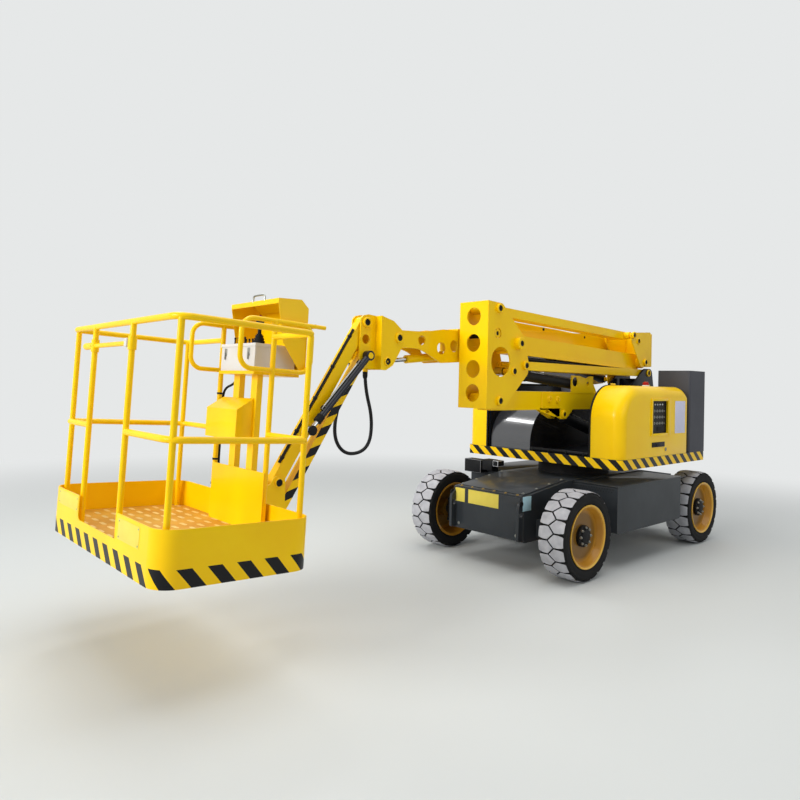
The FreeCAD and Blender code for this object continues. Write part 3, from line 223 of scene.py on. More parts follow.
# %% [markdown]
# Hazard stripes are masked and sprayed over the yellow. They could be modelled as thin plates,
# which would stand proud and split at every bend, so the paint draws them. Each band's stripes
# lie at one run of the surface's own coordinates: the run's remainder over one period is black
# for half of it. The object's own normal keeps stripes off floors and undersides, and it turns
# with the part when a joint moves.

# %% Hazard stripes
STRIPE_BLACK = "131315"
STEEPEST = 0.5
BASKET_PLACE = (4.01307, 0, 0.56008)
BASKET_TILT = math.radians(2.53)
basket = Matrix.Translation(BASKET_PLACE) @ Matrix.Rotation(-BASKET_TILT, 4, "Y")


def striped(name, run_of, start, period, band, in_basket=False, above_hex=None):
    """Yellow enamel, black in the first half of each period of a run, between two levels."""
    material, tree, shader, colour, place = enamel(name, YELLOW, YELLOW_DRIFT, YELLOW_WEAR_AND_HIGHLIGHT)
    if in_basket:
        place = add(tree, "ShaderNodeMapping", {"Vector": place},
                    {"Location": BASKET_PLACE, "Rotation": (0, -BASKET_TILT, 0)},
                    vector_type="TEXTURE")["Vector"]
    axes = add(tree, "ShaderNodeSeparateXYZ", {0: place})
    moved = add(tree, "ShaderNodeMath", {0: run_of(tree, place)}, {1: start}, operation="SUBTRACT")[0]
    rest = add(tree, "ShaderNodeMath", {0: moved}, {1: period}, operation="FLOORED_MODULO")[0]
    mask = add(tree, "ShaderNodeMath", {0: rest}, {1: period / 2}, operation="LESS_THAN")[0]
    normal = add(tree, "ShaderNodeTexCoord")["Normal"]
    facing_up = add(tree, "ShaderNodeSeparateXYZ", {0: normal})["Z"]
    steep = add(tree, "ShaderNodeMath", {0: facing_up}, operation="ABSOLUTE")[0]
    for source, limit, test in ((steep, STEEPEST, "LESS_THAN"), (axes["Z"], band[0], "GREATER_THAN"),
                                (axes["Z"], band[1], "LESS_THAN")):
        inside = add(tree, "ShaderNodeMath", {0: source}, {1: limit}, operation=test)[0]
        mask = add(tree, "ShaderNodeMath", {0: mask, 1: inside}, operation="MULTIPLY")[0]
    colour = add(tree, "ShaderNodeMix", {0: mask, 6: colour}, {7: linear(STRIPE_BLACK)},
                 data_type="RGBA")[2]
    if above_hex:
        high = add(tree, "ShaderNodeMath", {0: axes["Z"]}, {1: band[1]}, operation="GREATER_THAN")[0]
        colour = add(tree, "ShaderNodeMix", {0: high, 6: colour}, {7: linear(above_hex)},
                     data_type="RGBA")[2]
    tree.links.new(colour, shader["Base Color"])
    return material


def slanting(direction):
    """The run of a place along one slanting direction."""
    def run_of(tree, place):
        return add(tree, "ShaderNodeVectorMath", {0: place}, {1: direction},
                   operation="DOT_PRODUCT")["Value"]
    return run_of


skirt_stripes = striped("enamel hazard skirt", slanting((-1, 1, 1.2)), 0.02, 0.15, (0.80, 0.9035),
                        above_hex="10131C")
jib_stripes = striped("enamel hazard jib", slanting((0.3, 0, 1)), 0.03, 0.11, (0.4, 1.60))
print("stripes: skirt every 150 mm, jib every 110 mm")

# %% [markdown]
# The platform's toe board turns a round corner, where stripes at one slanting run would stretch.
# The painter's tape follows the sheet instead, so the run is the way along the sheet: straight
# on the front, round the corner's arc, and back along the side.

# %% Stripes round the toe board
TRAY_CORNER = (0.311, 0.686, 0.100)
TRAY_SLANT = 0.87


def tray_run(tree, place):
    """The way round the toe board from the middle of its front."""
    corner_x, corner_y, radius = TRAY_CORNER
    axes = add(tree, "ShaderNodeSeparateXYZ", {0: place})
    across = add(tree, "ShaderNodeMath", {0: axes["Y"]}, operation="ABSOLUTE")[0]
    side = add(tree, "ShaderNodeMath", {0: axes["Y"]}, operation="SIGN")[0]
    straight = add(tree, "ShaderNodeMath", {0: across}, {1: corner_y}, operation="MINIMUM")[0]
    past_x = add(tree, "ShaderNodeMath", {0: axes["X"]}, {1: corner_x}, operation="SUBTRACT")[0]
    past_y = add(tree, "ShaderNodeMath", {0: across}, {1: corner_y}, operation="SUBTRACT")[0]
    arc_x = add(tree, "ShaderNodeMath", {0: past_x}, {1: 0.0}, operation="MAXIMUM")[0]
    arc_y = add(tree, "ShaderNodeMath", {0: past_y}, {1: 0.0}, operation="MAXIMUM")[0]
    turn = add(tree, "ShaderNodeMath", {0: arc_y, 1: arc_x}, operation="ARCTAN2")[0]
    back = add(tree, "ShaderNodeMath", {0: past_x}, {1: 0.0}, operation="MINIMUM")[0]
    with_arc = add(tree, "ShaderNodeMath", {0: turn, 2: straight}, {1: radius}, operation="MULTIPLY_ADD")[0]
    way = add(tree, "ShaderNodeMath", {0: with_arc, 1: back}, operation="SUBTRACT")[0]
    signed = add(tree, "ShaderNodeMath", {0: way, 1: side}, operation="MULTIPLY")[0]
    return add(tree, "ShaderNodeMath", {0: axes["Z"], 2: signed}, {1: TRAY_SLANT},
               operation="MULTIPLY_ADD")[0]


tray_stripes = striped("enamel hazard tray", tray_run, 0.038, 0.146, (-0.01, 0.086), in_basket=True)
print("toe board corner radius", TRAY_CORNER[2], "m, stripes every 146 mm")

# %% [markdown]
# The other finishes differ in how their surface was made. Tyre rubber is moulded, carbon black
# and matt, and the dusty hall floor has left its tread faces nearly white. Chrome on the
# cylinder rods is a true mirror. The curved cover beside the tower is black sheet under a thick
# gloss lacquer, so it takes a strong coat. Moulded plastics have a fine grain of about half a
# millimetre, drawn at 2 mm, the finest that shows. One function makes them all from a colour
# that drifts, a roughness and a grain, because only these numbers differ.

# %% Rubber, plastics and metals
TONE_SCALE = 14.0
GRAIN_DEPTH = 0.002


def grained(name, hex_value, drift_hex, roughness, grain, metallic=0.0, strength=0.1, coat=0.0):
    """A finish with a slow drift of colour and a fine grain, whose size is given in metres."""
    material, tree, shader, place = start_material(name, roughness, metallic, coat)
    drift = add(tree, "ShaderNodeTexNoise", {"Vector": place}, {"Scale": TONE_SCALE, "Detail": 5.0})["Fac"]
    colour = add(tree, "ShaderNodeMix", {0: drift}, {6: linear(hex_value), 7: linear(drift_hex)},
                 data_type="RGBA")[2]
    tree.links.new(colour, shader["Base Color"])
    fine = add(tree, "ShaderNodeTexNoise", {"Vector": place}, {"Scale": 1 / grain, "Detail": 2.0})["Fac"]
    bump = add(tree, "ShaderNodeBump", {"Height": fine}, {"Strength": strength, "Distance": GRAIN_DEPTH})
    tree.links.new(bump["Normal"], shader["Normal"])
    return material


tyre_black = grained("rubber moulded black", "161617", "232323", 0.75, 0.004, strength=0.25)
tread_dust = grained("rubber tread dusted grey", "CFCFD3", "8B8C93", 0.85, 0.005, strength=0.3)
hose_black = grained("rubber hose extruded black", "18191B", "232427", 0.35, 0.003, strength=0.15)
black_plastic = grained("polypropylene moulded black", "141516", "1F2022", 0.5, 0.002)
cast_black = grained("cast iron blackened", "1B1B1C", "282829", 0.6, 0.003, 0.4, 0.3)
chrome = grained("chrome plated rod", "C8CACC", "BFC2C6", 0.1, 0.02, 1.0, 0.01)
zinc = grained("zinc plated bolt", "A9ABA6", "8C8C85", 0.35, 0.002, 1.0)
scuffed_zinc = grained("zinc plated bolt yellowed", "B99B4E", "8F7640", 0.4, 0.002, 0.9)
slot_pale = grained("floor slot worn steel", "F0D998", "E2C06C", 0.5, 0.003)
vent_grey = grained("steel sheet dusty grey", "85878A", "6C6E72", 0.5, 0.004)
plate_yellow = grained("vinyl plate pale yellow", "E9D662", "DCC850", 0.45, 0.01, strength=0.02)
plate_blue = grained("vinyl plate pale blue", "B9DCE6", "A9CEDA", 0.4, 0.01, strength=0.02)
sheet_white = grained("vinyl sheet white", "DDDDF0", "CFCFE8", 0.4, 0.01, strength=0.02)
lens_red = grained("acrylic lens red", "B02218", "8E170F", 0.15, 0.01, strength=0.02)
lens_white = grained("acrylic lens white", "E6E8EA", "D8DBDF", 0.15, 0.01, strength=0.02)
black_sheet = grained("steel sheet gloss black", "232428", "2E2F34", 0.22, 0.006, 0.0, 0.03, 0.9)
black_sheet.node_tree.nodes["Principled BSDF"].inputs["Specular IOR Level"].default_value = 1.0
print("finishes:", len(bpy.data.materials))

# %% [markdown]
# Small fittings are boxes, flat plates and turned parts, as they are in a workshop. Blender has
# a ready cube and cylinder for them, but each would be an object of its own with a place to
# apply. Drawn in one bmesh instead, many shapes make one piece. The first helpers draw a box
# with chamfered edges and a flat outline with a thickness.

# %% Boxes and plates


def dress(faces, finish, matrix):
    """Gives faces their finish, and moves their corners by a matrix."""
    for face in faces:
        face.material_index = finish
    if matrix is not None:
        for vert in {vert for face in faces for vert in face.verts}:
            vert.co = matrix @ vert.co


def box(bm, low, high, chamfer=0.002, finish=0, matrix=None):
    """A box between two corners, its edges chamfered."""
    made = bmesh.ops.create_cube(bm, size=1)["verts"]
    middle = (Vector(low) + Vector(high)) / 2
    size = Vector(high) - Vector(low)
    for vert in made:
        vert.co = middle + Vector(a * b for a, b in zip(vert.co, size))
    faces = {face for vert in made for face in vert.link_faces}
    if chamfer:
        edges = {edge for vert in made for edge in vert.link_edges}
        result = bmesh.ops.bevel(bm, geom=list(edges), offset=chamfer, segments=2, affect="EDGES",
                                 profile=0.5)
        faces = {face for face in faces if face.is_valid} | set(result["faces"])
    dress(faces, finish, matrix)


def along(axis, outline_point, level):
    """A point of an outline square to an axis, at a level along it."""
    a, b = outline_point
    return {"x": Vector((level, a, b)), "y": Vector((a, level, b)), "z": Vector((a, b, level))}[axis]


def slab(bm, axis, outline, low, high, finish=0, matrix=None, chamfer=0.0015):
    """A flat outline between two levels of an axis."""
    rings = [[bm.verts.new(along(axis, point, level)) for point in outline] for level in (low, high)]
    faces = [bm.faces.new(ring) for ring in rings]
    rims = [edge for face in faces for edge in face.edges]
    for index in range(len(outline)):
        after = (index + 1) % len(outline)
        faces.append(bm.faces.new((rings[0][index], rings[0][after], rings[1][after], rings[1][index])))
    if chamfer:
        result = bmesh.ops.bevel(bm, geom=rims, offset=chamfer, segments=1, affect="EDGES")
        faces = [face for face in faces if face.is_valid] + result["faces"]
    dress(set(faces), finish, matrix)


print("boxes and plates have chamfers of 2.0 and 1.5 mm unless a size is given")

# %% Turned parts
AXIS_TURN = {"x": Matrix.Rotation(math.pi / 2, 4, "Y"), "y": Matrix.Rotation(-math.pi / 2, 4, "X"),
             "z": Matrix.Identity(4)}


def lathe(bm, profile, at, axis="z", finish=0, segments=24, matrix=None):
    """A profile of (radius, level) turned about an axis through a point; radius 0 closes it."""
    turned_to = Matrix.Translation(Vector(at)) @ AXIS_TURN[axis]
    if matrix is not None:
        turned_to = matrix @ turned_to
    rings = []
    looped = profile[0] == profile[-1]
    for radius, level in profile[:-1] if looped else profile:
        if radius == 0:
            rings.append([bm.verts.new(turned_to @ Vector((0, 0, level)))])
            continue
        turns = (2 * math.pi * step / segments for step in range(segments))
        places = [Vector((radius * math.cos(turn), radius * math.sin(turn), level)) for turn in turns]
        rings.append([bm.verts.new(turned_to @ place) for place in places])
    faces = []
    for ring, after in zip(rings, rings[1:] + rings[:1] if looped else rings[1:]):
        for step in range(segments):
            step_on = (step + 1) % segments
            corners = [ring[step % len(ring)], ring[step_on % len(ring)],
                       after[step_on % len(after)], after[step % len(after)]]
            unique = list(dict.fromkeys(corners))
            if len(unique) > 2:
                faces.append(bm.faces.new(unique))
    for ring in () if looped else (rings[0], rings[-1]):
        if len(ring) > 1:
            faces.append(bm.faces.new(ring))
    dress(set(faces), finish, None)


def turned(profile, at=(0, 0, 0), axis="z", segments=16):
    """A new bmesh with one turned profile in it, for a tree to copy."""
    bm = bmesh.new()
    lathe(bm, profile, at, axis, segments=segments)
    return bm


print("profiles turn about", ", ".join(AXIS_TURN))

# %% From bmesh to piece
SHARP = math.radians(32)


def settle(name, mesh, body):
    """An object at the origin for a finished mesh, riding on its body."""
    mesh.shade_smooth()
    mesh.set_sharp_from_angle(angle=SHARP)
    piece = bpy.data.objects.new(name, mesh)
    bpy.context.collection.objects.link(piece)
    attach(piece, body)
    return piece


def plain_mesh(name, bm):
    """The mesh of a bmesh, which is then freed."""
    mesh = bpy.data.meshes.new(name)
    bm.to_mesh(mesh)
    bm.free()
    return mesh


def finish_piece(name, bm, finishes, body):
    """Turns a bmesh into a piece with its normals outward and its finishes, on its body."""
    bmesh.ops.recalc_face_normals(bm, faces=bm.faces)
    mesh = plain_mesh(name, bm)
    for finish in finishes:
        mesh.materials.append(finish)
    return settle(name, mesh, body)


def box_piece(name, boxes, finish, body, matrix=None):
    """A piece made only of boxes, each given by its two corners and its chamfer."""
    bm = bmesh.new()
    for low, high, chamfer in boxes:
        box(bm, low, high, chamfer, 0, matrix)
    return finish_piece(name, bm, [finish], body)


print("edges sharper than", round(math.degrees(SHARP)), "degrees stay sharp")

# %% [markdown]
# Tread blocks, wheel nuts, bolts, perforations, buttons, floor slots and hose ribs repeat. Each
# could be copied with a loop, but a Geometry Nodes tree says the rule once and shows its sizes
# as named inputs. The first tree sets copies of its input round the Y axis; turning every second
# copy end for end gives the tyre its two staggered rows. The second lays copies out on a grid.
# The third sweeps a section along a curve, ribbed for conduit or plain for hoses. Each ends in
# Realize Instances and Set Material, and its result is then turned into a plain mesh.

# %% Starting and ending a tree


def start_tree(name, sockets):
    """An empty tree with its geometry, its named inputs and a finish; gives the tree and its inputs."""
    tree = bpy.data.node_groups.new(name, "GeometryNodeTree")
    tree.interface.new_socket("Geometry", in_out="INPUT", socket_type="NodeSocketGeometry")
    for socket, kind in sockets + (("Finish", "NodeSocketMaterial"),):
        tree.interface.new_socket(socket, in_out="INPUT", socket_type=kind)
    tree.interface.new_socket("Geometry", in_out="OUTPUT", socket_type="NodeSocketGeometry")
    return tree, add(tree, "NodeGroupInput")


def end_tree(tree, given, geometry):
    """Makes the copies real, gives them their finish, and ends the tree."""
    real = add(tree, "GeometryNodeRealizeInstances", {"Geometry": geometry})[0]
    finished = add(tree, "GeometryNodeSetMaterial", {"Geometry": real, "Material": given["Finish"]})[0]
    add(tree, "NodeGroupOutput", {0: finished})


def grown(source, tree, values):
    """The plain mesh that a tree grows from a bmesh or a curve, which is then removed."""
    if isinstance(source, bmesh.types.BMesh):
        bmesh.ops.recalc_face_normals(source, faces=source.faces)
        source = plain_mesh("seed", source)
    seed = bpy.data.objects.new("seed", source)
    bpy.context.collection.objects.link(seed)
    modifier = seed.modifiers.new("grow", "NODES")
    modifier.node_group = tree
    for socket in tree.interface.items_tree:
        if socket.item_type == "SOCKET" and socket.name in values:
            modifier[socket.identifier] = values[socket.name]
    ready = seed.evaluated_get(bpy.context.evaluated_depsgraph_get())
    mesh = bpy.data.meshes.new_from_object(ready)
    seed.modifiers.clear()
    bpy.data.objects.remove(seed)
    return mesh


print("each tree takes its geometry and a finish besides its own inputs")

# %% The tree round an axle


def make_axle_tree():
    """Copies of the input round the Y axis, every second one turned about Z by Flip."""
    tree, given = start_tree("copies_round_axle",
                             (("Copies", "NodeSocketInt"), ("Flip", "NodeSocketFloat")))
    points = add(tree, "GeometryNodeMeshLine", {"Count": given["Copies"]}, {"Offset": (0, 0, 0)})[0]
    index = add(tree, "GeometryNodeInputIndex")[0]
    odd = add(tree, "ShaderNodeMath", {0: index}, {1: 2}, operation="FLOORED_MODULO")[0]
    turned_end = add(tree, "ShaderNodeMath", {0: odd, 1: given["Flip"]}, operation="MULTIPLY")[0]
    end_for_end = add(tree, "ShaderNodeCombineXYZ", {"Z": turned_end})[0]
    placed = add(tree, "GeometryNodeInstanceOnPoints",
                 {"Points": points, "Instance": given["Geometry"], "Rotation": end_for_end})[0]
    step = add(tree, "ShaderNodeMath", {1: given["Copies"]}, {0: 2 * math.pi}, operation="DIVIDE")[0]
    turn = add(tree, "ShaderNodeMath", {0: index, 1: step}, operation="MULTIPLY")[0]
    about_axle = add(tree, "ShaderNodeCombineXYZ", {"Y": turn})[0]
    spun = add(tree, "GeometryNodeRotateInstances", {"Instances": placed, "Rotation": about_axle},
               {"Local Space": False})[0]
    end_tree(tree, given, spun)
    return tree


axle_tree = make_axle_tree()
print("tree:", axle_tree.name)

# %% The tree on a grid


def make_grid_tree():
    """Copies of the input in columns and rows, every second row shifted by Stagger columns."""
    tree, given = start_tree("copies_on_grid", (
        ("Columns", "NodeSocketInt"), ("Rows", "NodeSocketInt"), ("Column Step", "NodeSocketVector"),
        ("Row Step", "NodeSocketVector"), ("Stagger", "NodeSocketFloat")))
    count = add(tree, "ShaderNodeMath", {0: given["Columns"], 1: given["Rows"]}, operation="MULTIPLY")[0]
    points = add(tree, "GeometryNodeMeshLine", {"Count": count}, {"Offset": (0, 0, 0)})[0]
    index = add(tree, "GeometryNodeInputIndex")[0]
    column = add(tree, "ShaderNodeMath", {0: index, 1: given["Columns"]}, operation="FLOORED_MODULO")[0]
    share = add(tree, "ShaderNodeMath", {0: index, 1: given["Columns"]}, operation="DIVIDE")[0]
    row = add(tree, "ShaderNodeMath", {0: share}, operation="FLOOR")[0]
    odd = add(tree, "ShaderNodeMath", {0: row}, {1: 2}, operation="FLOORED_MODULO")[0]
    shift = add(tree, "ShaderNodeMath", {0: odd, 1: given["Stagger"]}, operation="MULTIPLY")[0]
    columns = add(tree, "ShaderNodeMath", {0: column, 1: shift}, operation="ADD")[0]
    across = add(tree, "ShaderNodeVectorMath", {0: given["Column Step"], "Scale": columns},
                 operation="SCALE")[0]
    down = add(tree, "ShaderNodeVectorMath", {0: given["Row Step"], "Scale": row}, operation="SCALE")[0]
    place = add(tree, "ShaderNodeVectorMath", {0: across, 1: down}, operation="ADD")[0]
    spread = add(tree, "GeometryNodeSetPosition", {"Geometry": points, "Position": place})[0]
    placed = add(tree, "GeometryNodeInstanceOnPoints", {"Points": spread, "Instance": given["Geometry"]})[0]
    end_tree(tree, given, placed)
    return tree


grid_tree = make_grid_tree()


def grid_piece(name, seed, columns, rows, column_step, row_step, finish, body, slot="dark_paint",
               stagger=0.0, matrix=None):
    """Copies of a small shape on a grid, moved by a matrix, as one piece on a body."""
    mesh = grown(seed, grid_tree, {
        "Columns": columns, "Rows": rows, "Column Step": column_step, "Row Step": row_step,
        "Stagger": stagger, "Finish": finish})
    if matrix is not None:
        mesh.transform(matrix)
    return settle(name, mesh, body)


print("tree:", grid_tree.name)

# %% The tree along a curve
RING_POINTS = 14


def make_hose_tree():
    """A round section swept along the input curve, every second ring drawn in by Rib Height."""
    tree, given = start_tree("ribbed_hose", (
        ("Radius", "NodeSocketFloat"), ("Rib Height", "NodeSocketFloat"), ("Rib Pitch", "NodeSocketFloat")))
    half = add(tree, "ShaderNodeMath", {0: given["Rib Pitch"]}, {1: 2}, operation="DIVIDE")[0]
    line = add(tree, "GeometryNodeResampleCurve", {"Curve": given["Geometry"], "Length": half},
               mode="LENGTH")[0]
    index = add(tree, "GeometryNodeInputIndex")[0]
    odd = add(tree, "ShaderNodeMath", {0: index}, {1: 2}, operation="FLOORED_MODULO")[0]
    dip = add(tree, "ShaderNodeMath", {0: odd, 1: given["Rib Height"]}, operation="MULTIPLY")[0]
    radius = add(tree, "ShaderNodeMath", {0: given["Radius"], 1: dip}, operation="SUBTRACT")[0]
    section = add(tree, "GeometryNodeCurvePrimitiveCircle",
                  values={"Resolution": RING_POINTS, "Radius": 1.0})[0]
    swept = add(tree, "GeometryNodeCurveToMesh", {"Curve": line, "Profile Curve": section, "Scale": radius},
                {"Fill Caps": True})[0]
    smooth = add(tree, "GeometryNodeSetShadeSmooth", {0: swept})[0]
    end_tree(tree, given, smooth)
    return tree


hose_tree = make_hose_tree()


def hose_mesh(line, radius, rib_height, rib_pitch, finish):
    """The mesh of a hose along a curve."""
    return grown(line, hose_tree, {
        "Radius": radius, "Rib Height": rib_height, "Rib Pitch": rib_pitch, "Finish": finish})


print("tree:", hose_tree.name, "with", RING_POINTS, "points to a ring")

# %% [markdown]
# A hose hangs in a loop beside the jib and carries the lines past the moving joint. It could be
# left to a simulation, but its solid already has a settled route. So the sheath repeats that
# route's control points as one smooth NURBS line, and a ribbed section is swept along it. The
# ribs of real conduit are 3 to 4 mm apart; here they are 12 mm, the finest that shows. A turned
# ferrule holds each end.

# %% The jib hose
HOSE_SIDE = -0.210
HOSE_RADIUS = 0.0135
HOSE_ROUTE = (
    (2.470, 1.580), (2.470, 1.470), (2.385, 1.220), (2.420, 1.000), (2.640, 0.965), (2.760, 1.120),
    (2.690, 1.420), (2.605, 1.500), (2.605, 1.640))
FERRULE = [(0.019, 0), (0.019, -0.03), (0.016, -0.045), (0.0139, -0.05), (0.0139, 0), (0.019, 0)]


def spline(name, points):
    """One smooth open curve with these control points."""
    curve = bpy.data.curves.new(name, "CURVE")
    curve.dimensions = "3D"
    curve.resolution_u = 16
    line = curve.splines.new("NURBS")
    line.points.add(len(points) - 1)
    for point, place in zip(line.points, points):
        point.co = (*place, 1)
    line.order_u = 3
    line.use_endpoint_u = True
    return curve


def ring_centres(mesh):
    """The middle of each ring of a swept hose."""
    places = [vert.co for vert in mesh.vertices]
    return [sum(places[start:start + RING_POINTS], Vector()) / RING_POINTS
            for start in range(0, len(places), RING_POINTS)]


hose_line = spline("jib_hose_line", [(x, HOSE_SIDE, z) for x, z in HOSE_ROUTE])
sheath = hose_mesh(hose_line, HOSE_RADIUS, 0.0012, 0.012, hose_black)
hose_points = ring_centres(sheath)
hose_length = sum((b - a).length for a, b in zip(hose_points, hose_points[1:]))
hose = settle("jib_hose_sheath", sheath, "jib_bracket")
bm = bmesh.new()
for x, z in (HOSE_ROUTE[0], HOSE_ROUTE[-1]):
    lathe(bm, FERRULE, (x, HOSE_SIDE, z))
ferrules = finish_piece("jib_hose_ferrules", bm, [black_plastic], "jib_bracket")
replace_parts(hose, "jib_hose")
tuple(hose_points[0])
print("jib hose", round(hose_length, 3), "m long,", len(hose_points), "points")

# %% [markdown]
# The tyres are solid industrial tyres. Each has a smooth carcass, turned as a profile, and two
# rows of twenty five-sided blocks whose points meet in a zigzag along the middle. Cutting the
# grooves out of a plain tyre would leave ragged faces, so the blocks are built up instead: one is
# drawn on the curve of the tread, and the tree sets forty of them round the wheel, every second
# one turned end for end. The block tops are dusty, their sides and the grooves stay black.

# %% One tread block
TREAD_RADIUS, GROOVE_RADIUS = 0.350, 0.328
BLOCKS = 20
BLOCK_GAP = 0.011
BLOCK_HALF = math.pi * TREAD_RADIUS / BLOCKS - BLOCK_GAP / 2
SHOULDER, SHOULDER_TAPER, SHOULDER_DROP = 0.110, 0.17, 0.006
ZIGZAG = 0.024
RIM_DROP, CROWN_DROP = 0.004, 0.0006
BLOCK_COLUMNS = (-1, -0.93, -0.5, 0, 0.5, 0.93, 1)
BLOCK_ROWS = (0, 0.05, 0.5, 0.93, 1)


def block_top(bm):
    """The vertices of a block's top, by column and row."""
    top = {}
    for i, share in enumerate(BLOCK_COLUMNS):
        inner = ZIGZAG * (2 * abs(share) - 1) + 0.005
        for j, depth in enumerate(BLOCK_ROWS):
            rim = share in (-1, 1) or depth in (0, 1)
            radius = TREAD_RADIUS - (RIM_DROP if rim else CROWN_DROP) - (SHOULDER_DROP if depth > 0.9 else 0)
            narrowed = 1 - SHOULDER_TAPER * max(0, depth - 0.4) / 0.6
            turn = share * narrowed * BLOCK_HALF / TREAD_RADIUS
            across = inner + (SHOULDER - inner) * depth
            top[i, j] = bm.verts.new((radius * math.sin(turn), across, radius * math.cos(turn)))
    return top


def tread_block():
    """One block at the top of the wheel, its point towards the middle of the tread."""
    bm = bmesh.new()
    top = block_top(bm)
    last, end = len(BLOCK_COLUMNS) - 1, len(BLOCK_ROWS) - 1
    for i in range(last):
        for j in range(end):
            bm.faces.new((top[i, j], top[i + 1, j], top[i + 1, j + 1], top[i, j + 1]))
    rim = [top[i, 0] for i in range(last + 1)] + [top[last, j] for j in range(1, end + 1)]
    rim += [top[i, end] for i in range(last - 1, -1, -1)] + [top[0, j] for j in range(end - 1, 0, -1)]
    middle = (SHOULDER + ZIGZAG) / 2
    low = []
    for vert in rim:
        radius = math.hypot(vert.co.x, vert.co.z)
        spread = Vector((vert.co.x, vert.co.y - middle, 0)) * 0.03
        low.append(bm.verts.new((vert.co.x * GROOVE_RADIUS / radius + spread.x, vert.co.y + spread.y,
                                 vert.co.z * (GROOVE_RADIUS - 0.003) / radius)))
    for index in range(len(rim)):
        after = (index + 1) % len(rim)
        bm.faces.new((rim[index], rim[after], low[after], low[index]))
    bm.faces.new(low)
    return bm


tread = grown(tread_block(), axle_tree, {"Copies": 2 * BLOCKS, "Flip": math.pi, "Finish": tread_dust})
print("blocks on each tyre:", 2 * BLOCKS, "pitch", round(2 * math.pi * TREAD_RADIUS / BLOCKS, 3), "m")

# %% [markdown]
# A wheel adds its turned carcass, the rolled lip of the rim, the hub and eight hexagon nuts. A
# lathe would shape the real ones, so profiles turned about the axle are the natural way. The
# carcass carries two finishes: whatever lies out at the level of the block tops is dusty.

# %% Tyres and wheels
WHEELS = {"front_left": (1.042, 0.698), "front_right": (1.042, -0.698), "rear_left": (-1.042, 0.698),
          "rear_right": (-1.042, -0.698)}
AXLE_LEVEL = 0.350
DUSTY_FROM = GROOVE_RADIUS + 0.013
CARCASS = [(0.2375, -0.1050), (0.2475, -0.1052), (0.2550, -0.1100), (0.2700, -0.1160), (0.2900, -0.1175),
           (0.2960, -0.1160), (0.3040, -0.1160), (0.3100, -0.1172), (0.3200, -0.1150), (0.3275, -0.1060)]
CARCASS += [(radius, -level) for radius, level in reversed(CARCASS)]
CARCASS.append(CARCASS[0])
LIP = [(0.2290, 0.1030), (0.2350, 0.1130), (0.2400, 0.1178), (0.2455, 0.1178), (0.2470, 0.1120),
       (0.2390, 0.1065), (0.2320, 0.0990), (0.2290, 0.1030)]
HUB = [(0, 0.0550), (0.0840, 0.0550), (0.0840, 0.0790), (0.0800, 0.0835), (0.0560, 0.0840),
       (0.0530, 0.0930),
       (0.0440, 0.0970), (0, 0.0970)]


def nut(radius, height, at):
    """A hexagon nut with a chamfered top and its stud, along Y."""
    bm = turned([(radius, 0), (radius, height * 0.8), (radius * 0.85, height), (0, height)], at, "y", 6)
    lathe(bm, [(radius * 0.45, height), (radius * 0.4, height * 1.5), (0, height * 1.5)], at, "y",
          segments=8)
    return bm


def join(bm, mesh, finish, matrix):
    """Adds a mesh to a bmesh with one finish; gives its faces."""
    before = set(bm.faces)
    bm.from_mesh(mesh)
    faces = set(bm.faces) - before
    dress(faces, finish, matrix)
    return faces


nuts = grown(nut(0.011, 0.013, (0, 0.0835, 0.068)), axle_tree,
             {"Copies": 8, "Flip": 0.0, "Finish": cast_black})
for wheel, (ahead, side) in WHEELS.items():
    outward = Matrix.Rotation(0 if side > 0 else math.pi, 4, "Z")
    centre = Matrix.Translation((ahead, side, AXLE_LEVEL)) @ outward
    bm = bmesh.new()
    lathe(bm, CARCASS, (0, 0, 0), "y", 0, 96, centre)
    for face in join(bm, tread, 0, centre):
        place = centre.inverted() @ face.calc_center_median()
        if math.hypot(place.x, place.z) > DUSTY_FROM:
            face.material_index = 1
    tyre = finish_piece(f"tyre_{wheel}_tread", bm, [tyre_black, tread_dust], f"wheel_{wheel}")
    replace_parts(tyre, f"tyre_{wheel}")
    bm = bmesh.new()
    lathe(bm, LIP, (0, 0, 0), "y", 0, 72, centre)
    lathe(bm, HUB, (0, 0, 0), "y", 1, 36, centre)
    join(bm, nuts, 2, centre)
    finish_piece(f"rim_{wheel}_lip_hub", bm, [wheel_lip, cast_black, zinc], f"wheel_{wheel}")
print("wheels:", ", ".join(WHEELS))

# %% [markdown]
# The chassis is a welded box under charcoal paint. Its nose carries a bolted lid whose front
# edge is scuffed to bare, yellowed zinc, blank plates, and a tie-down eye in each ear; the side
# boxes are vented by two rows of small holes. The lid's parts are boxes drawn flat and tilted by
# one matrix, which is easier to measure than corners on a slope. The holes are dark discs a
# hair proud of the sheet, their black a painted shade for the dark inside that a hole shows: real
# holes would cut the solid for no visible gain.

# %% Chassis lid and vents
NOSE, DECK_BREAK, DECK_LEVEL, NOSE_DROP = 1.285, 0.640, 0.700, 0.085
BOX_FRONT, BOX_MIDDLE, BOX_HALF = 0.580, 0.590, 0.212
EAR_MIDDLE = 0.372
TIE_DOWN = [(0.024, 0), (0.024, 0.006), (0.016, 0.008), (0.012, 0.002), (0, 0.002)]
slope = math.atan2(NOSE_DROP, NOSE - DECK_BREAK)
on_slope = Matrix.Translation((DECK_BREAK, 0, DECK_LEVEL)) @ Matrix.Rotation(slope, 4, "Y")


def disc(radius):
    """The profile of a flat disc that stands 0.8 mm proud."""
    return [(radius, 0), (radius, 0.0008), (0, 0.0008)]


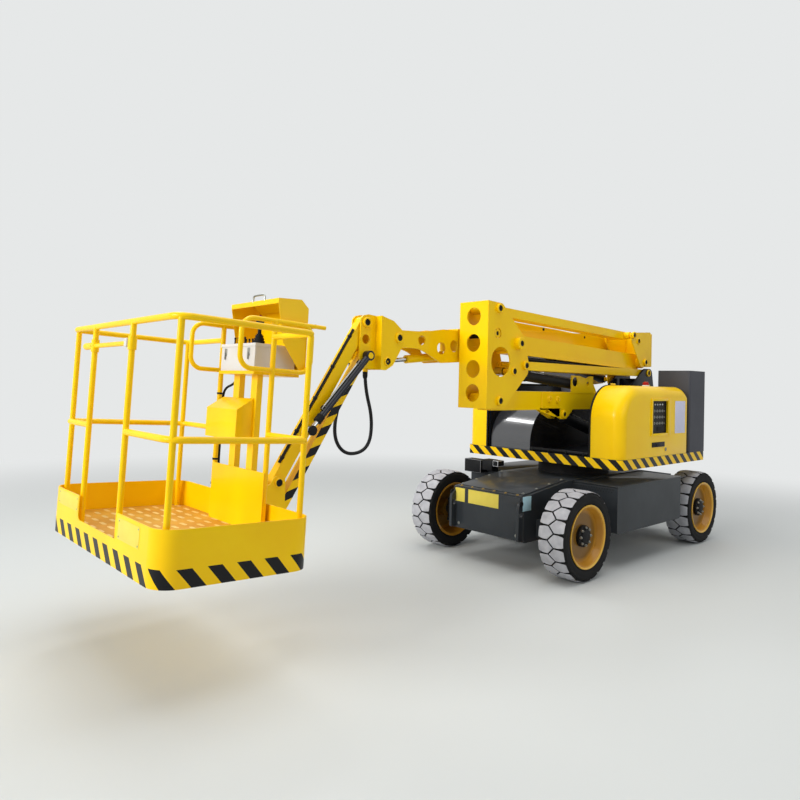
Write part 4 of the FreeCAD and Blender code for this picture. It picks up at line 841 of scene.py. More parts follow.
bm = bmesh.new()
box(bm, (0.02, -0.345, 0.001), (0.615, 0.345, 0.011), 0.002, 0, on_slope)
box(bm, (0.618, -0.352, -0.004), (0.650, 0.352, 0.006), 0.002, 0, on_slope)
box(bm, (NOSE, -0.345, 0.262), (NOSE + 0.006, 0.345, 0.606), 0.002)
for side in (1, -1):
    middle, ear = side * BOX_MIDDLE, side * EAR_MIDDLE
    box(bm, (-BOX_FRONT - 0.005, middle - BOX_HALF, 0.686), (BOX_FRONT + 0.005, middle + BOX_HALF, 0.694),
        0.003)
    box(bm, (NOSE - 0.06, ear - 0.004, 0.560), (NOSE + 0.004, ear + 0.004, 0.612), 0.002)
    lathe(bm, TIE_DOWN, (NOSE + 0.03, ear, 0.565), "y", 1, 20)
finish_piece("chassis_lid_and_plates", bm, [charcoal, cast_black], "chassis")
# Each vent disc's black is painted shade for the dark inside of a hole.
for side, start in (("left", 0.44), ("right", -0.74)):
    grid_piece(f"side_box_vents_{side}", turned(disc(0.0045), (BOX_FRONT, start, 0.640), "x", 10), 13, 2,
               (0, 0.025, 0), (0, 0, 0.022), black_plastic, "chassis", stagger=0.5)
print("lid slope", round(math.degrees(slope), 1), "degrees")

# %% Bolts and blank plates
BOLT_HEIGHT = 0.006
PLATE_LEVELS = (0.488, 0.604)


def bolts(name, matrix, columns, rows, column_step, row_step, body, finish=zinc, radius=0.009):
    """A grid of hexagon bolt heads; the matrix takes the first to its place, with Z outward."""
    head = turned([(radius * 1.5, 0), (radius * 1.5, 0.0015), (radius, 0.0016),
                   (radius, BOLT_HEIGHT * 0.85),
                   (radius * 0.85, BOLT_HEIGHT), (0, BOLT_HEIGHT)], segments=12)
    grid_piece(name, head, columns, rows, (column_step, 0, 0), (0, row_step, 0), finish, body,
               matrix=matrix)


def facing(place, outward, columns_along):
    """A frame at a place with Z outward and X along the columns."""
    z = Vector(outward).normalized()
    x = Vector(columns_along).normalized()
    return Matrix.Translation(place) @ Matrix((x, z.cross(x), z)).transposed().to_4x4()


across_lid = on_slope @ Matrix.Translation((0.634, -0.30, 0.006)) @ Matrix.Rotation(math.pi / 2, 4, "Z")
bolts("lid_bolts_front", across_lid, 6, 1, 0.12, 0.1, "chassis", scuffed_zinc)
bolts("lid_bolts_sides", on_slope @ Matrix.Translation((0.05, -0.325, 0.011)), 4, 2, 0.18, 0.65, "chassis")
bolts("nose_bolts", facing((NOSE + 0.006, -0.31, 0.30), (1, 0, 0), (0, 1, 0)), 2, 1, 0.62, 0.1, "chassis")
box_piece("nose_plates", [
    ((NOSE + 0.006, start, PLATE_LEVELS[0]), (NOSE + 0.0075, end, PLATE_LEVELS[1]), 0.0004)
    for start, end in ((-0.355, -0.245), (-0.205, 0.125))], plate_yellow, "chassis")
box_piece("ear_plate", [((1.19, 0.3768, 0.505), (1.30, 0.3785, 0.62), 0.0004)], plate_blue, "chassis")

# %% [markdown]
# On the right of the chassis stand a perforated charger box, a junction box and a socket with
# its two slots. They are bought-in parts with soft edges, so chamfered boxes are enough.

# %% Charger box and socket
CHARGER_FRONT = 0.690
CHARGER_VENTS = (7, 4)
bm = bmesh.new()
box(bm, (BOX_FRONT, -0.790, 0.655), (CHARGER_FRONT, -0.585, 0.780), 0.004, 1)
box(bm, (BOX_FRONT, -0.575, 0.690), (CHARGER_FRONT - 0.010, -0.455, 0.792), 0.005)
box(bm, (BOX_FRONT, -0.448, 0.735), (CHARGER_FRONT - 0.014, -0.385, 0.790), 0.004, 2)
for y in (-0.436, -0.410):
    box(bm, (CHARGER_FRONT - 0.016, y, 0.745), (CHARGER_FRONT - 0.0125, y + 0.010, 0.780), 0.001)
finish_piece("charger_box_and_socket", bm, [black_plastic, vent_grey, lens_white], "chassis")
# The charger's vents are dark discs too: their black is painted shade for the dark inside of each hole.
grid_piece("charger_box_vents", turned(disc(0.0065), (CHARGER_FRONT, -0.768, 0.677), "x", 10),
           *CHARGER_VENTS,
           (0, 0.027, 0), (0, 0, 0.027), tyre_black, "chassis")
print("charger vents:", math.prod(CHARGER_VENTS))

# %% [markdown]
# The hoods over the power pack are pressed steel shells with a big soft edge where the top and
# nose roll over into the side. A Bevel modifier can round a box, but it gives every edge one
# radius and pinches where three meet. So the shell is drawn as one side view after another: each
# step of the roll moves outward and draws the outline in, by a quarter circle, and less at the
# tail. A Solidify modifier gives the sheet its thickness and a Boolean cuts the control window.

# %% The hood's outline
HOOD_REAR, HOOD_FRONT, HOOD_FOOT, HOOD_TOP = -0.720, 0.530, 0.9043, 1.530
NOSE_RADIUS, TAIL_RADIUS, ROLL_RADIUS = 0.300, 0.115, 0.095
TAIL_SHARE = 0.3
ROLL_STEPS = 9


def corner_arc(centre, radius, start, end, steps):
    """Points on an arc between two angles in degrees."""
    turns = (math.radians(start + (end - start) * step / steps) for step in range(steps + 1))
    return [(centre[0] + radius * math.cos(turn), centre[1] + radius * math.sin(turn)) for turn in turns]


def hood_outline(inset):
    """The hood's side view, drawn in by an inset; its foot stays level."""
    outline = [(HOOD_REAR + TAIL_SHARE * inset, HOOD_FOOT), (HOOD_FRONT - inset, HOOD_FOOT)]
    outline += corner_arc((HOOD_FRONT - NOSE_RADIUS, HOOD_TOP - NOSE_RADIUS), NOSE_RADIUS - inset, 0, 90,
                          16)
    for x, z in corner_arc((0, 0), 1, 90, 180, 8):
        outline.append((HOOD_REAR + TAIL_RADIUS + x * (TAIL_RADIUS - TAIL_SHARE * inset),
                        HOOD_TOP - TAIL_RADIUS + z * (TAIL_RADIUS - inset)))
    return outline


print("hood outline:", len(hood_outline(0)), "points, roll radius", ROLL_RADIUS, "m")

# %% The hood's sheet
SHEET = 0.010


def working_object(name, mesh):
    """A working object that a modifier can act on."""
    made = bpy.data.objects.new(name, mesh)
    bpy.context.collection.objects.link(made)
    return made


def hood_sheet(inner, outer):
    """The hood's outer face from its inner edge to its side, as an object with thickness."""
    side = 1 if outer > inner else -1
    views = [(0, inner)]
    for step in range(ROLL_STEPS + 1):
        turn = math.pi / 2 * step / ROLL_STEPS
        views.append((ROLL_RADIUS * (1 - math.cos(turn)),
                      outer - side * ROLL_RADIUS * (1 - math.sin(turn))))
    bm = bmesh.new()
    rings = [[bm.verts.new((x, y, z)) for x, z in hood_outline(inset)] for inset, y in views]
    for near, far in zip(rings, rings[1:]):
        for index in range(1, len(near)):
            after = (index + 1) % len(near)
            bm.faces.new((near[index], near[after], far[after], far[index]))
    bm.faces.new(rings[-1])
    bmesh.ops.recalc_face_normals(bm, faces=bm.faces)
    if sum(face.normal.y * face.calc_area() for face in bm.faces) * side < 0:
        bmesh.ops.reverse_faces(bm, faces=bm.faces)
    shell = working_object("hood_sheet", plain_mesh("hood_sheet", bm))
    thick = shell.modifiers.new("thickness", "SOLIDIFY")
    thick.thickness, thick.offset = SHEET, -1
    return shell


def shell_mesh(shell, outer, window):
    """The sheet's mesh with its thickness and, where one is given, its window; both objects go."""
    used = [shell]
    if window:
        bm = bmesh.new()
        box(bm, (window[0], outer - 0.03, window[2]), (window[1], outer + 0.02, window[3]), 0.01)
        used.append(working_object("window_cutter", plain_mesh("window_cutter", bm)))
        opening = shell.modifiers.new("window", "BOOLEAN")
        opening.object, opening.solver = used[1], "EXACT"
    mesh = bpy.data.meshes.new_from_object(shell.evaluated_get(bpy.context.evaluated_depsgraph_get()))
    for piece in used:
        bpy.data.objects.remove(piece)
    return mesh


print("hood sheet", SHEET, "m thick")

# %% [markdown]
# Each hood swings on two hinge barrels on top of its inner edge. The edge itself shows black,
# and a rubber bead runs along it from foot to foot, to keep rain out. The bead is a small square
# section carried round the outline, because a bevelled curve would twist at the corners.

# %% Hood shells and seals
HINGE_STARTS, HINGE_LENGTH, HINGE_LEVEL = (-0.540, 0.110), 0.080, 1.536
HINGE_BARREL = [(0.0073, 0), (0.012, 0), (0.012, HINGE_LENGTH), (0.0073, HINGE_LENGTH), (0.0073, 0)]
BEAD = ((0.004, -0.004), (0.004, 0.012), (-0.002, 0.012), (-0.002, -0.004))
WINDOW = (-0.290, 0.0, 1.110, 1.400)
HOODS = {"hood_left": (0.492, 0.792, 0.486, WINDOW), "hood_right": (-0.640, -0.890, -0.634, None)}
LEFT_OUTER = HOODS["hood_left"][1]


def hood_shell(node, inner, outer, hinge_side, window):
    """The hood with its black inner edge and its hinge barrels, in place of the solid."""
    bm = bmesh.new()
    bm.from_mesh(shell_mesh(hood_sheet(inner, outer), outer, window))
    for face in bm.faces:
        face.material_index = 1 if abs(face.calc_center_median().y - inner) < 0.002 else 0
    for start in HINGE_STARTS:
        lathe(bm, HINGE_BARREL, (start, hinge_side, HINGE_LEVEL), "x", 0, 20)
    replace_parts(finish_piece(f"{node}_shell", bm, [yellow, black_plastic], node), node)


def edge_seal(node, inner, side):
    """A rubber bead on the hood's inner edge, from foot to foot over the top."""
    outline = [(HOOD_FRONT, HOOD_FOOT)]
    outline += corner_arc((HOOD_FRONT - NOSE_RADIUS, HOOD_TOP - NOSE_RADIUS), NOSE_RADIUS, 0, 90, 20)
    outline += corner_arc((HOOD_REAR + TAIL_RADIUS, HOOD_TOP - TAIL_RADIUS), TAIL_RADIUS, 90, 180, 8)
    outline.append((HOOD_REAR, HOOD_FOOT))
    bm = bmesh.new()
    rings = []
    for index, (x, z) in enumerate(outline):
        before, after = outline[max(index - 1, 0)], outline[min(index + 1, len(outline) - 1)]
        way = Vector((after[0] - before[0], 0, after[1] - before[1])).normalized()
        out = Vector((way.z, 0, -way.x))
        place = Vector((x, inner, z))
        rings.append([bm.verts.new(place + out * reach + Vector((0, side * depth, 0))) for reach,
                      depth in BEAD])
    for ring, after in zip(rings, rings[1:]):
        for step in range(4):
            bm.faces.new((ring[step], ring[(step + 1) % 4], after[(step + 1) % 4], after[step]))
    bm.faces.new(rings[0])
    bm.faces.new(rings[-1])
    finish_piece(f"{node}_seal", bm, [tyre_black], node)


for node, values in HOODS.items():
    hood_shell(node, *values)
for node in HOODS:
    inner, outer = HOODS[node][:2]
    edge_seal(node, inner, 1 if outer > inner else -1)
print("hoods:", ", ".join(HOODS))

# %% [markdown]
# On the left hood a raised bezel frames the ground controls. Beside it is a plain white sheet
# where a maker would put instructions, and on top a small beacon. Each hood has a flush black
# latch and a key lock below. All of these are thin things on a flat side, so boxes and turned
# profiles that start at the side's own level are quickest and can't float or sink.

# %% Hood fittings
BEZEL_SIDE, BEZEL_FRAME = 0.055, 0.022
BEACON_PLACE = (-0.30, 0.575, HOOD_TOP)
SHEET_PROUD = 0.0015
LOCK = ((0.016, 0), (0.016, 0.005), (0.011, 0.007), (0.011, 0.004), (0, 0.004))
rear, front, foot, head = WINDOW
outer_foot, outer_head = foot - BEZEL_FRAME, head + BEZEL_FRAME
box_piece("window_bezel", [
    ((x_low, LEFT_OUTER - 0.004, z_low), (x_high, LEFT_OUTER + 0.010, z_high), 0.003)
    for x_low, x_high, z_low, z_high in (
        (rear - BEZEL_SIDE, rear, outer_foot, outer_head),
        (front, front + BEZEL_FRAME, outer_foot, outer_head),
        (rear, front, outer_foot, foot), (rear, front, head, outer_head))], yellow, "hood_left")
box_piece("instruction_sheet_blank", [
    ((-0.655, LEFT_OUTER, 1.100), (-0.445, LEFT_OUTER + SHEET_PROUD, 1.400), 0.0005)], sheet_white,
          "hood_left")
for node in HOODS:
    outer = HOODS[node][1]
    side = 1 if outer > 0 else -1
    bm = bmesh.new()
    for ends, levels, proud in (((-0.240, 0.0), (0.988, 1.032), 0.005),
                                ((-0.170, -0.070), (0.996, 1.024), 0.009)):
        low, high = sorted((outer, outer + side * proud))
        box(bm, (ends[0], low, levels[0]), (ends[1], high, levels[1]), 0.002)
    lathe(bm, [(radius, side * level) for radius, level in LOCK], (-0.262, outer, 0.962), "y", 1, 20)
    finish_piece(f"{node}_latch", bm, [black_plastic, zinc], node)
bm = bmesh.new()
lathe(bm, [(0.034, 0), (0.034, 0.010), (0.030, 0.012), (0, 0.012)], BEACON_PLACE, "z", 1)
lathe(bm, [(0.027, 0.012), (0.027, 0.030), (0.020, 0.041), (0.010, 0.045), (0, 0.045)], BEACON_PLACE)
finish_piece("beacon", bm, [lens_red, lens_white], "hood_left")
print("window", round(front - rear, 2), "by", round(head - foot, 2), "m")

# %% [markdown]
# Behind the window the panel has a row of pale buttons and three rows of toggles over a blank
# display. The panel stays on the turntable when the hood opens, so these ride there too.

# %% Ground controls
PANEL_FACE = 0.778
BUTTON = [(0.0075, 0), (0.0075, 0.004), (0.006, 0.006), (0, 0.006)]
TOGGLE = [(0.012, 0), (0.012, 0.003), (0.005, 0.004), (0.004, 0.016), (0.0055, 0.020), (0, 0.020)]
BUTTON_GRID, TOGGLE_GRID = (4, 1), (4, 3)
grid_piece("ground_buttons", turned(BUTTON, (-0.215, PANEL_FACE, 1.368), "y"), *BUTTON_GRID, (0.046, 0, 0),
           (0, 0, -0.05), lens_white, "turntable")
grid_piece("ground_toggles", turned(TOGGLE, (-0.220, PANEL_FACE, 1.310), "y", 12), *TOGGLE_GRID,
           (0.050, 0, 0),
           (0, 0, -0.055), zinc, "turntable")
box_piece("ground_display", [((-0.262, PANEL_FACE, 1.130), (-0.120, PANEL_FACE + 0.004, 1.168), 0.001)],
          cast_black, "turntable")
print("ground controls:", math.prod(BUTTON_GRID), "buttons,", math.prod(TOGGLE_GRID), "toggles")

# %% [markdown]
# Along the turntable's front edge lies a corrugated conduit on saddle clips. It is the hose tree
# again, with deeper ribs, on a line that wanders by 2 or 3 mm as a clipped conduit does. Large
# bolts hold the two counterweights from behind.

# %% Turntable fittings
CONDUIT_PLACE, CONDUIT_LEVEL, CONDUIT_RADIUS = 0.500, 0.924, 0.017
REAR_FACE = -1.124
conduit_line = spline("conduit_line", [(CONDUIT_PLACE, y, CONDUIT_LEVEL + lift) for y, lift in (
    (-0.140, 0.0), (-0.05, 0.002), (0.08, 0.0), (0.20, 0.003), (0.33, 0.0), (0.470, 0.001))])
settle("deck_conduit", hose_mesh(conduit_line, CONDUIT_RADIUS, 0.0035, 0.016, hose_black), "turntable")
bm = bmesh.new()
box(bm, (CONDUIT_PLACE - 0.022, -0.118, 0.904), (CONDUIT_PLACE + 0.022, -0.104, CONDUIT_LEVEL + 0.0195),
    0.004)
grid_piece("conduit_saddles", bm, 4, 1, (0, 0.18, 0), (0, 0, 0.1), black_plastic, "turntable")
for side, start in (("left", 0.560), ("right", -0.790)):
    bolts(f"counterweight_bolts_{side}", facing((REAR_FACE, start, 1.05), (-1, 0, 0), (0, 1, 0)), 2, 3,
          0.16, -0.22,
          "turntable", zinc, 0.018)
print("conduit", 2 * CONDUIT_RADIUS, "m thick on 4 saddles")

# %% [markdown]
# Every pin of the tower, boom and jib ends in a welded collar, and the pin's dark end sits a
# little inside it. Copies of one shape would do, but the collars differ in radius and height, so
# one profile is turned anew for each. A table gives the place, the radius, and how far the collar
# may stand out before it would meet a neighbour.

# %% Pin collars
LIFT_LUG = (1.514 - 1.016, 1.382 - 0.123)
TOWER_LEFT, TOWER_RIGHT, TOWER_SIDE = 0.287, -0.007, 0.140
BOOM_SIDE = -0.130
PIN_BORE, PIN_RADIUS = 0.0245, 0.0240
COLLARS = {
    "front_riser": (
        (1.514, TOWER_LEFT, 1.382, 0.036, 0.022), (1.187, TOWER_LEFT, 1.672, 0.036, 0.024),
        (1.287, TOWER_LEFT, 1.846, 0.048, 0.046), (1.537, TOWER_LEFT, 2.108, 0.036, 0.020),
        (1.330, TOWER_LEFT, 1.620, 0.034, 0.012), (1.514, TOWER_RIGHT, 1.382, 0.034, 0.008),
        (1.187, TOWER_RIGHT, 1.672, 0.034, 0.008), (1.287, TOWER_RIGHT, 1.846, 0.034, 0.008),
        (1.537, TOWER_RIGHT, 2.108, 0.034, 0.008)),
    "rear_riser": (
        (-0.844, TOWER_LEFT, 1.780, 0.036, 0.018), (-0.594, TOWER_LEFT, 2.042, 0.036, 0.018),
        (-0.700, TOWER_LEFT, 1.990, 0.030, 0.010), (-0.820, -0.223, 1.980, 0.040, 0.016),
        (-0.720, -0.223, 1.600, 0.036, 0.016)),
    "turntable": ((-0.618, 0.274, 1.382, 0.038, 0.012), (-0.945, 0.274, 1.672, 0.038, 0.012)),
    "jib_bracket": (
        (2.317, BOOM_SIDE + 0.117, 1.835, 0.038, 0.014), (2.317, BOOM_SIDE - 0.117, 1.835, 0.038, 0.014),
        (2.425, BOOM_SIDE + 0.117, 1.656, 0.032, 0.010), (2.425, BOOM_SIDE - 0.117, 1.656, 0.032, 0.010),
        (2.576, BOOM_SIDE + 0.053, 1.932, 0.036, 0.014), (2.576, BOOM_SIDE - 0.053, 1.932, 0.036, 0.014),
        (2.576, BOOM_SIDE - 0.053, 1.692, 0.036, 0.014)),
    "jib_end": (
        (3.275, BOOM_SIDE + 0.054, 0.843, 0.030, 0.012), (3.275, BOOM_SIDE - 0.054, 0.843, 0.030, 0.012),
        (3.275, BOOM_SIDE + 0.054, 0.603, 0.030, 0.012), (3.275, BOOM_SIDE - 0.054, 0.603, 0.030, 0.012)),
}


def collar_and_pin(bm, place, way, radius, height):
    """A collar with a bore, and the pin's end sunk a little inside it."""
    collar = ((radius, -0.001), (radius, height - 0.003), (radius - 0.003, height), (PIN_BORE, height),
              (PIN_BORE, height - 0.004), (PIN_BORE, -0.001), (radius, -0.001))
    face = height - min(0.004, height - 0.004)
    pin = ((PIN_RADIUS, 0), (PIN_RADIUS, face - 0.002), (0.022, face), (0.008, face), (0.006, face - 0.004),
           (0, face - 0.004))
    for profile, finish, segments in ((collar, 0, 28), (pin, 1, 24)):
        lathe(bm, [(r, way * level) for r, level in profile], place, "y", finish, segments)


for body, collars in COLLARS.items():
    middle = BOOM_SIDE if body in ("jib_bracket", "jib_end") else TOWER_SIDE
    bm = bmesh.new()
    for x, y, z, radius, height in collars:
        collar_and_pin(bm, (x, y, z), 1 if y > middle else -1, radius, height)
    finish_piece(f"{body}_pin_collars", bm, [yellow, cast_black], body)
print("pin collars:", sum(len(collars) for collars in COLLARS.values()))

# %% [markdown]
# A few plates finish the arms. A folded duct on top of the boom carries its hoses, deep at the
# front and shallow at the pivot. It is an outline pulled across the boom.

# %% The boom's hose duct
BOOM_NEAR, BOOM_FAR = -0.060, -0.200
DUCT = [(-0.30, 2.030), (0.192, 2.052), (0.890, 2.074), (1.290, 2.084), (1.350, 2.060), (1.380, 1.960),
        (0.50, 2.000)]
bm = bmesh.new()
slab(bm, "y", DUCT, BOOM_FAR, BOOM_NEAR, chamfer=0.006)
for place, level in ((-0.250, 2.012), (0.45, 2.040), (1.10, 2.050)):
    lathe(bm, [(0.013, -0.001), (0.013, 0.006), (0.010, 0.008), (0, 0.008)], (place, BOOM_NEAR, level), "y",
          1, 12)
finish_piece("boom_hose_duct", bm, [yellow, cast_black], "main_boom")
duct_levels = [z for x, z in DUCT]
print("duct from", min(duct_levels), "to", max(duct_levels), "m up")

# %% [markdown]
# On the lower arm sit a doubler with two welded bosses, a lug for the lift cylinder and a holed
# bracket beside the riser cylinder's foot. A Boolean could drill the holes; here the plate is
# filled between its loops of edges and then pulled to its thickness, which keeps clean rims.

# %% Plates on the lower arm
ARM_FACE = 0.210
LUG_PLACE = (LIFT_LUG[0], ARM_FACE, LIFT_LUG[1])


def round_hole(x, z, radius, steps=24):
    """A closed ring of points, the last one not repeated."""
    return corner_arc((x, z), radius, 0, 360 - 360 / steps, steps - 1)


def holed_slab(bm, outline, holes, low, high):
    """A plate across Y between two levels, with holes through it."""
    edges = []
    for loop in (outline, *holes):
        verts = [bm.verts.new((x, low, z)) for x, z in loop]
        edges += [bm.edges.new(pair) for pair in zip(verts, verts[1:] + verts[:1])]
    filled = bmesh.ops.triangle_fill(bm, edges=edges, use_beauty=True)["geom"]
    faces = [item for item in filled if isinstance(item, bmesh.types.BMFace)]
    made = bmesh.ops.extrude_face_region(bm, geom=faces)["geom"]
    for vert in (item for item in made if isinstance(item, bmesh.types.BMVert)):
        vert.co.y = high


bm = bmesh.new()
slab(bm, "y", [(0.54, 1.314), (0.84, 1.314), (0.84, 1.450), (0.54, 1.450)], ARM_FACE - 0.002,
     ARM_FACE + 0.006)
for place, level in ((0.730, 1.396), (0.607, 1.390)):
    lathe(bm, [(0.030, 0.004), (0.030, 0.016), (0.026, 0.018), (0.012, 0.018), (0.012, 0.010), (0, 0.010)],
          (place, ARM_FACE, level), "y")
holed_slab(bm, [(0.560, 1.320), (0.860, 1.320), (0.840, 1.285), (0.640, 1.240), (0.560, 1.240)],
           [[(0.745 + 2 * x, 1.287 + z) for x, z in round_hole(0, 0, 0.016)]], ARM_FACE - 0.010, ARM_FACE)
lathe(bm, [(0.036, -0.002), (0.036, 0.014), (0.033, 0.017), (0.022, 0.017), (0.022, -0.002),
           (0.036, -0.002)],
      LUG_PLACE, "y", 0, 28)
lathe(bm, [(0.0215, -0.002), (0.0215, 0.010), (0.018, 0.012), (0, 0.012)], LUG_PLACE, "y", 1, 20)
holed_slab(bm, [(0.020, 1.450), (0.020, 1.612), (0.080, 1.612), (0.140, 1.590), (0.260, 1.612),
                (0.385, 1.612),
                (0.385, 1.450)],
           [round_hole(0.325, 1.555, 0.044),
            round_hole(0.110, 1.540, 0.022, 16)], ARM_FACE - 0.007, ARM_FACE + 0.003)
finish_piece("lower_arm_plates", bm, [yellow, cast_black], "lower_arm")
print("lift lug at", tuple(round(value, 3) for value in LUG_PLACE))

# %% [markdown]
# The front riser's side has a covered hole and a through pin, and the jib's rod turns on a pin of
# its own. A dark plate behind the tower is painted shade: it stands for the shaded inside of the
# turntable that shows between the hoods.

# %% Covers, a pin and a back plate of painted shade
SMALL_HOLE = (1.542, 0, 1.912)
JIB_ROD_PIN = (3.0622, 0, 1.1746)
bm = bmesh.new()
lathe(bm, [(0.130, 0.0005), (0.130, 0.006), (0.127, 0.008), (0, 0.008)], (1.500, 0, 1.690), "y", 0, 40)
lathe(bm, [(0.034, 0.272), (0.034, 0.282), (0.031, 0.284), (0.018, 0.284), (0.018, 0.272), (0.034, 0.272)],
      SMALL_HOLE, "y")
lathe(bm, [(0, 0.004), (0.034, 0.004), (0.034, 0.274), (0.030, 0.276), (0, 0.276)], SMALL_HOLE, "y", 1)
finish_piece("riser_hole_covers", bm, [yellow, cast_black], "front_riser")
bm = bmesh.new()
lathe(bm, [(0.024, -0.092), (0.024, -0.020), (0.034, -0.020), (0.034, -0.013), (0.030, -0.011), (0, -0.011),
           (0, -0.092)], JIB_ROD_PIN, "y")
finish_piece("jib_rod_pin", bm, [cast_black], "jib_upper_bar")
# The back plate's dark navy is painted shade for the shadowed space behind the tower.
box_piece("painted_shade_back_plate", [((-0.800, 0.035, 1.200), (-0.790, 0.245, 1.612), 0.002)], navy, "turntable")
print("jib rod pin at", JIB_ROD_PIN)

# %% [markdown]
# The arms carry hoses on clips and the jib a cable along its top edge. Each could be drawn where
# it lies, on a slope, but its points are easier to read along the member. So each is drawn in
# the member's own frame, from pin to pin, and a matrix turns it to where the member lies at rest.

# %% Hoses on the arms
ARM_FRONT, ARM_REAR = (1.287, 1.846), (-0.844, 1.780)
UNDER_ARM = -0.079
CLIP_HALF = 0.009


def member_frame(start, end, side):
    """A frame with X from one pin to the other, at a side; Z stays upward. Gives its length too."""
    run = Vector((end[0] - start[0], 0, end[1] - start[1]))
    turn = Matrix.Rotation(math.atan2(-run.z, run.x), 4, "Y")
    return Matrix.Translation((start[0], side, start[1])) @ turn, run.length


def laid_line(name, frame_of, points, radius, body, clip_places=(), clip_size=()):
    """A hose along a member, in the member's frame, with a strap at each place along it."""
    line = spline(name + "_line", [frame_of @ Vector(point) for point in points])
    settle(name, hose_mesh(line, radius, 0.0, 0.03, hose_black), body)
    if clip_places:
        low, high = clip_size
        bm = bmesh.new()
        for place in clip_places:
            box(bm, (place - CLIP_HALF, *low), (place + CLIP_HALF, *high), 0.002, 0, frame_of)
        finish_piece(name + "_clips", bm, [cast_black], body)


arm_frame, arm_length = member_frame(ARM_REAR, ARM_FRONT, TOWER_SIDE)
for index, across in enumerate((-0.034, 0.000, 0.034)):
    laid_line(f"arm_hose_{index}", arm_frame, [
        (0.35, across, UNDER_ARM - 0.015), (0.80, across, UNDER_ARM - 0.016),
        (1.25, across * 1.2, UNDER_ARM - 0.020), (1.60, across, UNDER_ARM - 0.024),
        (1.95, across, UNDER_ARM - 0.022)], 0.016, "upper_arm", (0.45, 0.95, 1.45, 1.88),
        ((across - 0.016, UNDER_ARM - 0.042), (across + 0.016, UNDER_ARM)))
print("arm", round(arm_length, 3), "m from pin to pin")

# %% The cable on the jib
JIB_TOP, JIB_END_TOP = (2.576, 1.932), (3.275, 0.843)
ON_JIB = 0.042
CABLE_RADIUS = 0.0095
CABLE_PLACES = ((0.10, 0.022, 0.010), (0.35, 0.024, 0.011), (0.65, 0.022, 0.010), (0.95, 0.024, 0.011),
                (1.18, 0.022, 0.010))
jib_frame, jib_length = member_frame(JIB_TOP, JIB_END_TOP, BOOM_SIDE)
laid_line("jib_cable", jib_frame, [(x, y, ON_JIB + lift) for x, y, lift in CABLE_PLACES], CABLE_RADIUS,
          "jib_upper_bar", (0.16, 0.42, 0.68, 0.94, 1.14),
          ((0.010, ON_JIB - 0.001), (0.036, ON_JIB + 0.0205)))
print("jib", round(jib_length, 3), "m from pin to pin")

# %% [markdown]
# The cylinders' barrels end in a gland nut with a wiper, and carry a steel feed pipe along
# their backs. All four differ only in their pins, radius and length, so one table and one loop
# dress them, each in its own frame.

# %% Glands and feed pipes
CYLINDERS = {
    "tower_cylinder": ((-0.450, 0.990), LIFT_LUG, TOWER_SIDE, 0.050, 0.075, 0.006),
    "boom_cylinder": ((-0.720, 1.600), (0.07167, 1.77861), BOOM_SIDE, 0.042, 0.075, 0.006),
    "riser_cylinder": ((0.044, 1.512), (1.330, 1.620), TOWER_SIDE, 0.044, 0.290, 0.005),
    "jib_cylinder": ((2.576, 1.692), (3.06222, 1.17464), BOOM_SIDE + 0.084, 0.025, 0.075, 0.004),
}
PIPE_RADIUS, PIPE_RISE, PIPE_END = 0.006, 0.008, 0.11
for name, (start, end, side, radius, gland_back, proud) in CYLINDERS.items():
    own_frame, length = member_frame(start, end, side)
    gland = length - gland_back
    bm = bmesh.new()
    lathe(bm, [(radius - 0.001, gland - 0.055), (radius + proud, gland - 0.053),
               (radius + proud, gland - 0.004),
               (radius + proud - 0.003, gland), (radius - 0.010, gland), (radius - 0.010, gland - 0.02),
               (radius - 0.001, gland - 0.055)], (0, 0, 0), "x", 0, 32, own_frame)
    for place in (0.10, gland - 0.10):
        box(bm, (place - 0.016, -0.014, radius - 0.004), (place + 0.016, 0.014, radius + 0.016), 0.003, 1,
            own_frame)
    lathe(bm, [(PIPE_RADIUS, PIPE_END), (PIPE_RADIUS, gland - PIPE_END), (0, gland - PIPE_END)],
          (0, 0, radius + PIPE_RISE), "x", 1, 12, own_frame)
    finish_piece(f"{name}_gland_and_pipe", bm, [cast_black, zinc], name)
print("cylinders:", ", ".join(CYLINDERS))

# %% [markdown]
# The platform is where people stand and work, so it has the most small parts. Its floor is a
# painted sheet worn by shoes, with rows of raised oblong slots that give grip, and its toe board
# has blank plates. All of it is drawn in the platform's own level frame and then tilted with it,
# so that the numbers stay those of a level floor. The slots are a thin pale plate each, because
# a hundred holes would weigh down the mesh and show no more.

# %% Platform floor and plates
FLOOR_LEVEL = 0.096
HALF_LONG, HALF_WIDE, FLOOR_CORNER = 0.3985, 0.7785, 0.10
SLOT_COLUMNS, SLOT_ROWS = 11, 10
TOE_FACE = 0.406
RIVET_INSET = 0.012
floor_brown = enamel("enamel floor worn orange", "DDA83C", "C4892A", "EBCB85", 0.5, 0.0, 0.05, 1.0)[0]


def oblong(length, width, steps=4):
    """An outline with round ends, longest along Y."""
    reach = (length - width) / 2
    half_round = corner_arc((0, reach), width / 2, 0, 180, steps)
    return half_round + corner_arc((0, -reach), width / 2, 180, 360, steps)


